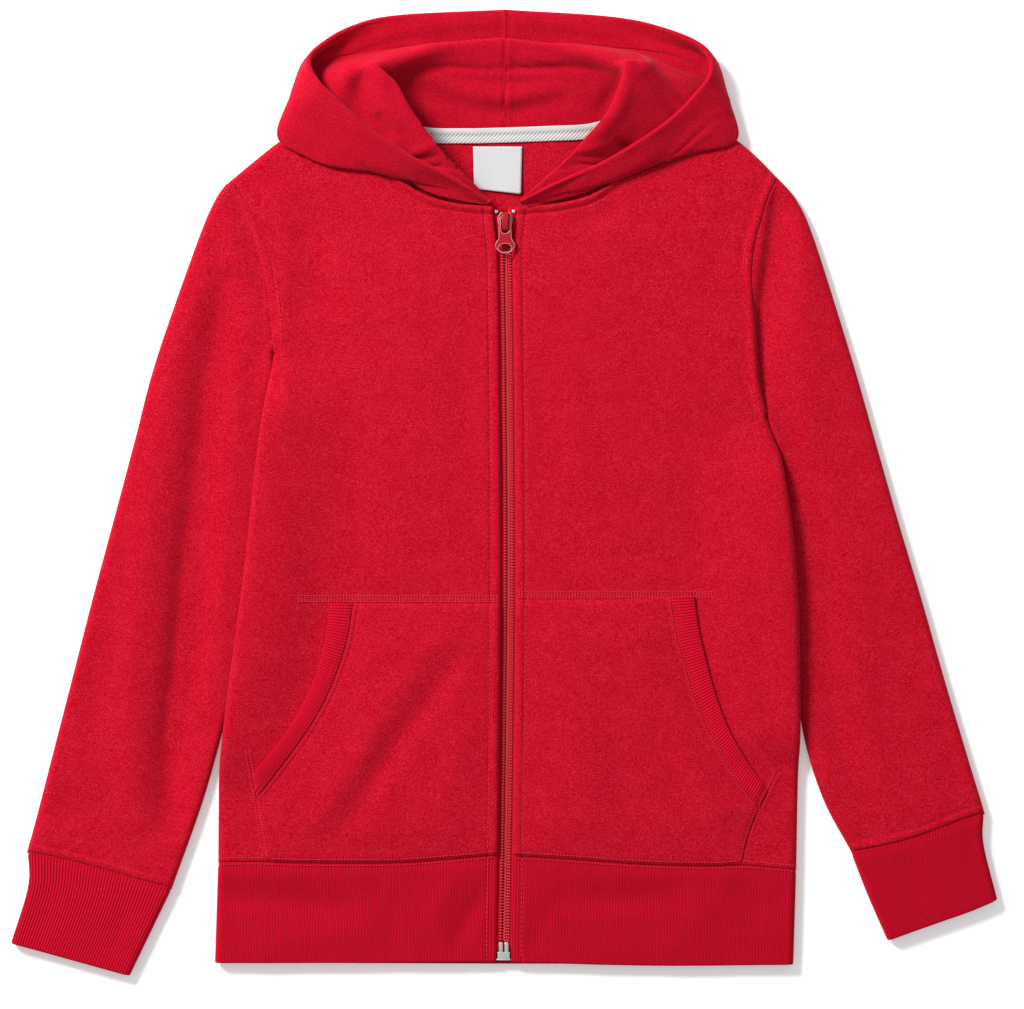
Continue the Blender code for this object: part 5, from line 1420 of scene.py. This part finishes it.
def makeHood(half):
    name = "hood_" + half["name"]
    grid = hoodGrid(half)
    rows, columns = grid.shape[:2]
    t, s = np.meshgrid(np.linspace(0, 1, columns), np.linspace(0, 1, rows))
    plan = grid[..., :2]
    inBack = 1.0 - ease((t - hoodParts["backEnd"]) / 0.05)
    pastRoll = ease((t - hoodParts["lobeFrom"]) / 0.05)
    ringPart = ease((s - hoodParts["ringStart"]) / 0.1)
    onLobe = (pastRoll * (1.0 - ease((t - hoodParts["lobeEnd"]) / 0.08))
              * (1.0 - ringPart * ease((t - hoodParts["lobeEndBehind"]) / 0.05)))
    onRing = ringPart * ease((t - hoodParts["ringFrom"]) / 0.06)
    onRim = (1.0 - ringPart) * ease((t - hoodParts["rimFrom"]) / 0.06)
    amount = creased(plan, hoodBack) * inBack
    amount += creased(plan, hoodLobe[half["name"]]) * onLobe
    amount += creased(plan, hoodRing[half["name"]]) * onRing
    amount -= creased(plan, hoodRim[half["name"]]) * onRim
    amount += hood["waves"] * unevenness(plan, 16.0, 6.3 + half["sign"])
    amount *= ease(t / 0.06) * ease((1 - t) / 0.03)
    rimGap = arcs(grid, 1)
    rimGap = rimGap[:, -1:] - rimGap
    seamGap = arcs(grid, 0)
    seamGap = seamGap[-1:] - seamGap
    amount *= 1.0 - 0.7 * np.exp(-(seamGap / 1.5) ** 2)
    amount += 0.3 * np.exp(-((seamGap - 2.6) / 1.4) ** 2) - 0.6 * np.exp(-(seamGap / 0.9) ** 2)
    normal = gridNormals(grid) * half["sign"]
    grid = grid + normal * amount[..., None]
    thickness = hood["wall"] + hood["hemWall"] * ease((hood["hem"] - rimGap) / 1.5)
    thickness -= 0.7 * groove(rimGap, hood["hem"] - 1.5, 0.8)
    thickness *= 0.45 + 0.55 * ease(s / 0.12)
    shell = bothFaces(grid, gridNormals(grid) * half["sign"], thickness)
    shell[..., 2] = np.maximum(shell[..., 2], 0.05)
    obj = gridObject(name + "_cloth", shell, arcs(shell, 1), arcs(shell, 0), closed=True,
                     flip=half["sign"] < 0, capped=True)
    dress(obj, hoodFleece, [name])


for half in halves.values():
    makeHood(half)
print("hood ready")


# Neck tape and label.
neckTape = {"start": -50.0, "end": 62.0, "above": 4.6, "below": 4.4, "thick": 0.7,
            "height": 3.45, "rise": 1.5, "width": 9.0}
label = {"top": 211.2, "bottom": 183.8, "slant": 1.6, "middle": -4.5, "width": 30.0,
         "thick": 0.35, "height": 3.3, "taper": 0.7}


def makeNeckTape():
    seam = np.vstack([joined(backNeck["right"]), joined(backNeck["left"])[::-1][1:]])
    xs = np.linspace(neckTape["start"], neckTape["end"], 90)
    seamY = np.interp(xs, seam[:, 0], seam[:, 1])
    across = np.linspace(1.0, -1.0, 15)
    grid = np.zeros((len(across), len(xs), 3))
    for i, share in enumerate(across):
        offset = share * (neckTape["above"] if share > 0 else neckTape["below"])
        grid[i, :, 0] = xs
        grid[i, :, 1] = seamY + offset
        lifted = (max(share, 0.0) * neckTape["rise"] + neckTape["height"]
                  - 0.25 * abs(share) ** 6)
        grid[i, :, 2] = lifted + 0.12 * np.sin(xs * 0.21) - 0.2 * groove(abs(share), 0.8, 0.08)
    u = np.tile(xs, (len(across), 1))
    v = np.repeat((across[:, None] + 1.0) * neckTape["width"] / 2, len(xs), axis=1)
    obj = gridObject("neck_tape_weave", grid, u, v, flip=True)
    walled(obj, neckTape["thick"])
    dress(obj, herringboneTape, ["neck_tape"])


def makeLabel():
    xs = label["middle"] + np.linspace(-0.5, 0.5, 25) * label["width"]
    x, down = np.meshgrid(xs, np.linspace(0.0, 1.0, 25))
    side = (x - label["middle"]) / label["width"] * 2.0
    y = label["top"] + (label["bottom"] - label["slant"] * side - label["top"]) * down
    z = label["height"] + 0.5 * down ** 2 * (1.0 + 0.3 * side) + 0.2 * np.sin(3.0 * side) * down
    grid = np.dstack([x - label["taper"] * down * side, y, z])
    obj = gridObject("neck_label_satin", grid, x, y, flip=True)
    walled(obj, label["thick"])
    dress(obj, labelSatin, ["neck_label"])


makeNeckTape()
makeLabel()


# Zip.
zipParts = {
    "tapeUnder": 4.5, "tapeWall": 0.9, "tapeHalf": 14.0, "split": 0.15,
    "tapeTop": 174.1, "stopsY": 171.3,
    "sliderTop": 171.0, "sliderLength": 12.0, "axisY": 167.4, "axisZ": 10.1,
    "boxTop": -280.0,
}


def makeZipTapes():
    for name, half in halves.items():
        ys = np.linspace(zipParts["tapeTop"], zipParts["boxTop"] + 0.4, 120)
        low = zipParts["sliderTop"] - zipParts["sliderLength"]
        spread = 1.6 * ease((ys - low) / 6.5)
        shares = np.linspace(0.0, 1.0, 7)
        inner = zipParts["split"] + spread
        x = (zipX(ys)[:, None] + half["sign"] * (inner[:, None]
             + (zipParts["tapeHalf"] - inner[:, None]) * shares))
        z = np.full(x.shape, zipParts["tapeUnder"] + zipParts["tapeWall"])
        grid = np.dstack([x, np.repeat(ys[:, None], 7, axis=1), z])
        obj = gridObject("zip_tape_" + name + "_weave", grid, x, grid[..., 1],
                         flip=half["sign"] > 0)
        walled(obj, zipParts["tapeWall"])
        dress(obj, zipCloth, ["zip_tape_" + name])


# Vertices and faces of many short rounded rods at once.
def capsuleField(starts, ends, radius, bow=0.0, sides=6, rings=5):
    starts, ends = np.asarray(starts, float), np.asarray(ends, float)
    count = len(starts)
    run = ends - starts
    forward = unit(run)
    sideways = unit(np.cross(forward, [0.0, 0.0, 1.0]))
    upward = np.cross(sideways, forward)
    verts = np.zeros((count, rings, sides, 3))
    for i in range(rings):
        t = i / (rings - 1)
        size = radius * (math.sin(math.pi * (0.12 + 0.76 * t)) ** 0.6)
        middle = starts + run * t + upward * bow * math.sin(math.pi * t)
        for j in range(sides):
            angle = 2 * math.pi * j / sides
            verts[:, i, j] = middle + size * (math.cos(angle) * sideways
                                              + math.sin(angle) * upward)
    one = []
    for i in range(rings - 1):
        for j in range(sides):
            k = (j + 1) % sides
            one.append([i * sides + j, i * sides + k, (i + 1) * sides + k,
                        (i + 1) * sides + j])
    quads = np.array(one)[None] + (np.arange(count) * rings * sides)[:, None, None]
    caps = np.array([list(range(sides))[::-1],
                     list(range((rings - 1) * sides, rings * sides))])
    caps = caps[None] + (np.arange(count) * rings * sides)[:, None, None]
    return verts.reshape(-1, 3), quads.reshape(-1, 4).tolist() + caps.reshape(-1, sides).tolist()


# One object from several fields of rods.
def rodsObject(name, groups, material):
    verts, faces, base = [], [], 0
    for groupVerts, groupFaces in groups:
        verts.append(groupVerts)
        faces += [[index + base for index in face] for face in groupFaces]
        base += len(groupVerts)
    mesh = bpy.data.meshes.new(name)
    mesh.from_pydata((np.vstack(verts) * mm).tolist(), [], faces)
    mesh.shade_smooth()
    mesh.materials.append(material)
    obj = linked(name, mesh)
    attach(obj, body)
    return obj


def pointsAt(x, y, z):
    return np.stack(np.broadcast_arrays(x, y, z), axis=-1)


coil = {"pitch": 1.78, "base": 5.0, "height": 2.0, "radius": 0.6, "bow": 0.2,
        "edgeAt": 2.5, "edgeRadius": 0.45, "underSlider": 5.4, "aboveBox": 6.0}


# Two rows of coil turns, meshed down the middle, with pale dots painted as glints where their
# heads catch the light.
def makeChain():
    top = zipParts["sliderTop"] - coil["underSlider"]
    bottom = zipParts["boxTop"] + coil["aboveBox"]
    high = coil["base"] + coil["height"] - coil["radius"]
    low = high - 1.1
    pitch = coil["pitch"]
    groups = []
    for sign, reach, start in ((-1.0, 2.75, 0.95), (1.0, 2.85, 1.5)):
        ys = np.arange(top, bottom, -pitch) - (0.5 * pitch if sign > 0 else 0.0)
        xs = zipX(ys)
        groups.append(capsuleField(pointsAt(xs + sign * reach, ys - 0.3, high - 0.5),
                                   pointsAt(xs + sign * start, ys + 0.3, high),
                                   coil["radius"], coil["bow"]))
        edge = xs + sign * coil["edgeAt"]
        groups.append(capsuleField(pointsAt(edge, ys - 0.9, low), pointsAt(edge, ys + 0.65, low),
                                   coil["edgeRadius"]))
    obj = rodsObject("zip_coil", groups, nylonCoil)
    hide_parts("zip_chain")
    ys = np.arange(top, bottom, -pitch)
    # Pale dots down the middle and on the right-hand coil: painted glints on the coil heads.
    glintDots = []
    for across, shift, reach, size in ((-0.15, 0.0, 0.2, 0.27), (0.45, 0.5, 0.16, 0.22),
                                       (2.9, 0.5, 0.25, 0.3)):
        xs = zipX(ys) + across
        dotY = ys - shift * pitch
        z = high + 0.12 - (0.35 if across > 2 else 0.0)
        glintDots.append(capsuleField(pointsAt(xs - reach, dotY - 0.08, z),
                                 pointsAt(xs + reach, dotY + 0.08, z), size, 0.08))
    glints = rodsObject("zip_coil_heads", glintDots, coilGlint)


makeZipTapes()
makeChain()


# One object from several meshes that overlap.
def mergedObject(name, meshes, material, rider=body, nodes=()):
    whole = bmesh.new()
    for mesh in meshes:
        whole.from_mesh(mesh)
    obj = linked(name, meshFrom(whole, name))
    obj.data.materials.clear()
    obj.data.materials.append(material)
    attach(obj, rider)
    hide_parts(*nodes)
    return obj


# A block with rounded edges, its place in its points.
def roundedBlock(size, centre, bevel):
    bm = bmesh.new()
    bmesh.ops.create_cube(bm, size=1.0)
    bmesh.ops.scale(bm, vec=[part * mm for part in size], verts=bm.verts)
    bmesh.ops.bevel(bm, geom=bm.edges[:], offset=bevel * mm, segments=3, profile=0.5,
                    affect="EDGES")
    bmesh.ops.translate(bm, vec=[part * mm for part in centre], verts=bm.verts)
    for face in bm.faces:
        face.smooth = True
    return meshFrom(bm, "block")


# A curve of closed loops at a height.
def loopsCurve(name, loops, dimensions, z=0.0):
    curve = bpy.data.curves.new(name, "CURVE")
    curve.dimensions = dimensions
    for loop in loops:
        spline = curve.splines.new("POLY")
        spline.points.add(len(loop) - 1)
        for point, (x, y) in zip(spline.points, loop):
            point.co = (x * mm, y * mm, z * mm, 1.0)
        spline.use_cyclic_u = True
    return curve


# A flat outline with rounded edges, as a mesh lying at a height.
def plateMesh(loops, low, thick, bevel):
    curve = loopsCurve("plate", loops, "2D")
    curve.fill_mode = "BOTH"
    curve.extrude = (thick / 2 - bevel) * mm
    curve.bevel_depth = bevel * mm
    curve.bevel_resolution = 3
    curve.offset = -bevel * mm
    holder = linked("plate", curve)
    bpy.context.view_layer.update()
    graph = bpy.context.evaluated_depsgraph_get()
    mesh = bpy.data.meshes.new_from_object(holder.evaluated_get(graph))
    bpy.data.objects.remove(holder)
    mesh.transform(Matrix.Translation((0.0, 0.0, (low + thick / 2) * mm)))
    return mesh


# A thin bright line along a closed loop: a painted highlight along the enamel's edge.
def highlightWire(name, loop, z, radius, rider=body):
    curve = loopsCurve(name, [loop], "3D", z)
    curve.bevel_depth = radius * mm
    curve.bevel_resolution = 2
    curve.materials.append(edgeHighlight)
    obj = linked(name, curve)
    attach(obj, rider)
    return obj


def insetLoop(loop, distance):
    points = np.array(loop, float)
    inward = leftOf(unit(np.roll(points, -1, axis=0) - np.roll(points, 1, axis=0)))
    area = np.sum(points[:, 0] * np.roll(points[:, 1], -1)
                  - np.roll(points[:, 0], -1) * points[:, 1])
    return (points + inward * distance * math.copysign(1.0, area)).tolist()


slider = {"plateTop": 8.8, "plate": 1.5, "bridgeHalf": 1.9, "bridgeThick": 1.2,
          "under": 2.5, "base": 1.0}


def makeSlider():
    middle = float(zipX(zipParts["axisY"]))
    top = zipParts["sliderTop"]
    low = top - zipParts["sliderLength"]
    rightHalf = [(0.0, top), (2.3, top - 0.1), (3.6, top - 1.6), (4.6, top - 4.0),
                 (4.5, top - 5.6), (3.9, top - 8.2), (3.6, low + 0.8), (3.1, low),
                 (0.0, low)]
    half = smoothRun(rightHalf, 4)
    shield = [(middle + x, y) for x, y in half]
    shield += [(middle - x, y) for x, y in half[-2:0:-1]]
    pieces = [plateMesh([shield], slider["plateTop"] - slider["plate"], slider["plate"], 0.4),
              plateMesh([shield], slider["under"], slider["base"], 0.25),
              roundedBlock((2.4, 4.2, 5.5), (middle, top - 2.5, 5.7), 0.3)]
    # the bridge is an arched strap with both feet in the plate
    arch = smoothRun([(170.3, 8.2), (170.1, 10.2), (169.2, 11.7), (166.5, 12.25),
                      (163.4, 12.2), (160.9, 11.5), (159.9, 10.0), (159.7, 8.2)], 5)
    outward = leftOf(unit(np.gradient(arch, axis=0)))
    w, t = slider["bridgeHalf"], slider["bridgeThick"] / 2
    section = []
    for cx, cz, start in ((w - 0.5, t - 0.35, 0), (-w + 0.5, t - 0.35, 90),
                          (-w + 0.5, -t + 0.35, 180), (w - 0.5, -t + 0.35, 270)):
        for turn in (0, 30, 60, 90):
            angle = math.radians(start + turn)
            section.append((cx + 0.5 * math.cos(angle), cz + 0.35 * math.sin(angle)))
    grid = np.zeros((len(arch), len(section), 3))
    for j, (across, out) in enumerate(section):
        grid[:, j, 0] = middle + across
        grid[:, j, 1:] = arch - outward * out
    strap = gridObject("slider_strap", grid, grid[..., 0], grid[..., 1], closed=True)
    pieces.append(strap.data.copy())
    bpy.data.objects.remove(strap)
    obj = mergedObject("slider_body", pieces, enamel, nodes=["zip_slider"])
    rim = highlightWire("slider_rim", insetLoop(shield, 0.28), slider["plateTop"] - 0.12, 0.14)


pull = {"bar": 1.9, "length": 22.4, "thick": 1.4, "windowLength": 8.6, "windowHalf": 2.5,
        "holeWide": 3.8, "holeHigh": 2.7, "holeAt": 18.6, "rim": 0.12}


def makePull():
    middle = float(zipX(zipParts["axisY"]))
    axisY, axisZ = zipParts["axisY"], zipParts["axisZ"]
    half = smoothRun([(0.0, 0.95), (2.6, 0.75), (3.9, -1.6), (3.9, -9.0), (4.1, -15.0),
                      (5.4, -17.6), (6.1, -20.4), (5.0, -23.4), (2.6, -25.2),
                      (0.0, -25.6)], 7)
    half[:, 1] *= (pull["length"] - pull["bar"] / 2) / 25.6
    outer = [(middle + x, axisY + y) for x, y in half]
    outer += [(middle - x, axisY + y) for x, y in half[-2:0:-1]]
    wide = pull["windowHalf"]
    windowTop = axisY - pull["bar"] / 2
    windowLow = windowTop - pull["windowLength"]
    window = [(middle + wide, windowTop), (middle + wide, windowLow + wide)]
    window += [(middle + wide * math.cos(angle), windowLow + wide + wide * math.sin(angle))
               for angle in np.linspace(0.0, -math.pi, 13)[1:-1]]
    window += [(middle - wide, windowLow + wide), (middle - wide, windowTop)]
    hole = [(middle + pull["holeWide"] * math.cos(angle),
             axisY - pull["holeAt"] + pull["holeHigh"] * math.sin(angle))
            for angle in np.linspace(0.0, -2 * math.pi, 33)[:-1]]
    low = axisZ - pull["thick"] / 2
    mesh = plateMesh([outer, window, hole], low, pull["thick"], 0.3)
    obj = mergedObject("pull_tab", [mesh], enamel, "zip_pull", ["zip_pull"])
    top = low + pull["thick"] - 0.1
    for name, loop, inset in (("outer", outer, 0.3), ("window", window, -0.3),
                              ("hole", hole, -0.3)):
        wire = highlightWire("pull_rim_" + name, insetLoop(loop, inset), top, pull["rim"],
                        "zip_pull")


def makeStops():
    top = zipParts["boxTop"]
    middle = float(zipX(top))
    pieces = [roundedBlock(size, (middle, top - down, 4.95), bevel)
              for size, down, bevel in (((7.6, 4.6, 4.0), 2.4, 0.5),
                                        ((8.6, 0.9, 4.4), 4.7, 0.35),
                                        ((8.0, 0.7, 4.1), 0.5, 0.3))]
    pieces += [roundedBlock((2.5, 6.4, 1.7), (middle + side, top + 2.6, 6.0), 0.55)
               for side in (-1.75, 1.75)]
    obj = mergedObject("zip_box", pieces, nickel, nodes=["zip_bottom_stop"])
    y = zipParts["stopsY"]
    for name, half in halves.items():
        x = float(zipX(y)) + half["sign"] * 5.2
        clamp = [roundedBlock((2.1, 1.9, 1.5), (x, y, 6.4), 0.5),
                 roundedBlock((0.7, 2.2, 1.7), (x + half["sign"] * 0.5, y, 6.4), 0.25)]
        obj = mergedObject("top_stop_" + name, clamp, nickel, nodes=["zip_top_stop_" + name])


makeSlider()
makePull()
makeStops()
print("zip ready")

stitch = {"length": 2.3, "pitch": 2.9, "radius": 0.24, "sunk": 0.05,
          "neckLine": 5.0, "hemLine": 1.9, "ladderPitch": 1.8, "pocketPitch": 1.75,
          "ladderEnd": 127.0, "cuffTop": 7.75}


# A line a distance to one side of another in plan.
def offsetLine(dense, distance):
    return dense[:, :2] + leftOf(unit(np.gradient(dense[:, :2], axis=0))) * distance


# Running stitches along a line in plan, on a height function.
def stitchRow(dense, heightAt, pitch=stitch["pitch"], length=stitch["length"],
              radius=stitch["radius"], skip=0.0, shift=0.0):
    travelled = runLengths(dense[:, :2])
    starts = np.arange(skip, travelled[-1] - skip - length, pitch)

    def placed(values):
        plan = np.stack([np.interp(values, travelled, dense[:, k]) for k in (0, 1)], axis=-1)
        return np.column_stack([plan, heightAt(plan) + radius - stitch["sunk"]])
    first, second = placed(starts), placed(starts + length)
    if shift:
        second[:, :2] += leftOf(unit(second[:, :2] - first[:, :2])) * shift
    return capsuleField(first, second, radius, 0.08)


def makeStitches(half):
    name, sign = half["name"], half["sign"]
    lines = pocketLines(half)
    onFront = lambda plan: frontHeight(half, plan)
    onPocket = lambda plan: pocketHeight(half, lines, plan)
    onTack = lambda plan: bindingBase(half, plan) + 0.7
    onBinding = lambda plan: bindingBase(half, plan) + 1.5
    onWaist = lambda plan: np.full(plan.shape[:-1], waist["height"] - 0.25)
    onCuff = lambda plan: np.full(plan.shape[:-1], stitch["cuffTop"])
    topY = pocketTopY[name]
    besideZip = [sign * front["zipStitch"], 0.0]
    groups = [
        stitchRow(offsetLine(half["armhole"], sign * -front["armStitch"]), onFront, skip=4.0),
        stitchRow(zipEdge(half, 168.0, topY) + besideZip, onFront),
        stitchRow(zipEdge(half, topY - 2.0, -219.0) + besideZip, onPocket),
        stitchRow(zipEdge(half, -223.0, -285.0) + besideZip, onWaist),
        stitchRow(offsetLine(half["neck"], sign * stitch["neckLine"]), onFront, skip=5.0),
    ]
    # two rows beside the hem seam
    seam = half["hem"]
    byPocket = abs(seam[:, 0]) < abs(pocketSide[name][-1][0]) - 1.0
    above, below = [0.0, stitch["hemLine"]], [0.0, -stitch["hemLine"]]
    groups += [
        stitchRow(seam[byPocket] + above, onPocket, 2.0, 1.5, 0.27, 1.0),
        stitchRow(seam[~byPocket] + above, onFront, 2.0, 1.5, 0.27, 1.0),
        stitchRow(seam + below, onWaist, 2.0, 1.3, 0.22, 2.0),
    ]
    # the ladder of the pocket's top seam
    pitch = stitch["ladderPitch"]
    ladderEnd = sign * stitch["ladderEnd"]
    ladderY = topY + (0.4 if sign < 0 else 1.0)
    ladder = np.stack([np.linspace(float(zipX(topY)) + besideZip[0], ladderEnd, 40),
                       np.full(40, ladderY)], axis=-1)
    groups += [stitchRow(ladder + [0.0, rise], onFront, pitch, 1.45, 0.25)
               for rise in (0.6, 4.2)]
    xs = np.arange(abs(ladder[0, 0]) + 0.8, abs(ladderEnd), pitch) * sign
    for first, second in ((0.9, 2.4), (2.4, 3.9)):
        a = np.stack([xs, np.full(xs.shape, ladderY + first)], axis=-1)
        b = np.stack([xs + 0.35, np.full(xs.shape, ladderY + second)], axis=-1)
        groups.append(capsuleField(np.column_stack([a, onFront(a) + 0.1]),
                                   np.column_stack([b, onFront(b) + 0.1]), 0.25))
    # the pocket's short side, its tack, both edges of the binding and the cuff seam
    pitch = stitch["pocketPitch"]
    side = joined(pocketSide[name])
    corner = np.array(pocketMouth[name][-1], float)
    tack = joined([2.0 * corner[:2] - corner[2:], corner[:2], corner[2:]])
    inner = joined([(r[2], r[3]) for r in pocketMouth[name]])
    groups += [
        stitchRow(offsetLine(side, sign * -1.4), onPocket, pitch, 1.3, 0.24, 1.0, 0.5),
        stitchRow(offsetLine(side, sign * 1.2), onFront, pitch, 1.2, 0.24, 1.0, 0.5),
        stitchRow(offsetLine(tack, -1.2), onTack, pitch, 1.3, 0.25, 0.3, 0.6),
        stitchRow(offsetLine(tack, 1.2), onTack, pitch, 1.3, 0.25, 0.3, 0.6),
        stitchRow(offsetLine(inner, sign * -1.2), onPocket, pitch, 1.3, 0.18, 2.0, 0.7),
        stitchRow(offsetLine(inner, sign), onBinding, pitch, 1.2, 0.18, 2.0, -0.5),
        stitchRow(offsetLine(inner, sign * 4.2), onBinding, pitch, 1.2, 0.18, 2.0),
        stitchRow(offsetLine(half["cuffSeam"], sign * -1.6), onCuff, 2.0, 1.5, 0.2, 5.0),
    ]
    obj = rodsObject("seam_stitches_" + name, groups, sewingThread)


for half in halves.values():
    makeStitches(half)
print("stitches ready")

# Studio: light from the upper left, a pale floor and a camera straight above.
studio = {"sky": 0.55, "key": 143.0, "keySize": 0.9, "keyFrom": (-1.72, 1.72, 1.76),
          "floorSize": 3.0, "floorDown": 0.0002, "floorGlow": 0.2,
          "cameraAt": (0.0043, -0.0073, 3.0), "lens": 172.6}


def makeStudio():
    scene = bpy.context.scene
    white = (1.0, 1.0, 1.0)
    square = bmesh.new()
    bmesh.ops.create_grid(square, x_segments=8, y_segments=8, size=studio["floorSize"])
    floor = linked("floor", meshFrom(square, "floor"))
    floor.location.z = -studio["floorDown"]
    paper = speckledMaterial(
        "paperFloor", 60.0, 0.5, (0.885, 0.905, 0.905), (0.905, 0.925, 0.925),
        {"Roughness": 0.95, "Specular IOR Level": 0.0, "Emission Color": white,
         "Emission Strength": studio["floorGlow"]})
    floor.data.materials.append(paper)

    world = scene.world or bpy.data.worlds.new("studio")
    scene.world = world
    world.use_nodes = True
    background = world.node_tree.nodes["Background"]
    feed(world.node_tree, background.inputs["Color"], white)
    feed(world.node_tree, background.inputs["Strength"], studio["sky"])

    lamp = bpy.data.lights.new("key", "AREA")
    lamp.shape = "DISK"
    lamp.size = studio["keySize"]
    lamp.energy = studio["key"]
    key = linked("key", lamp)
    key.location = studio["keyFrom"]
    key.rotation_euler = (-key.location).to_track_quat("-Z", "Y").to_euler()

    camera = bpy.data.cameras.new("camera")
    camera.lens = studio["lens"]
    camera.sensor_width = 36.0
    camera.clip_start = 0.1
    camera.clip_end = 20.0
    eye = linked("camera", camera)
    eye.location = studio["cameraAt"]
    scene.camera = eye
    scene.view_settings.view_transform = "Standard"


makeStudio()

print("scene ready")
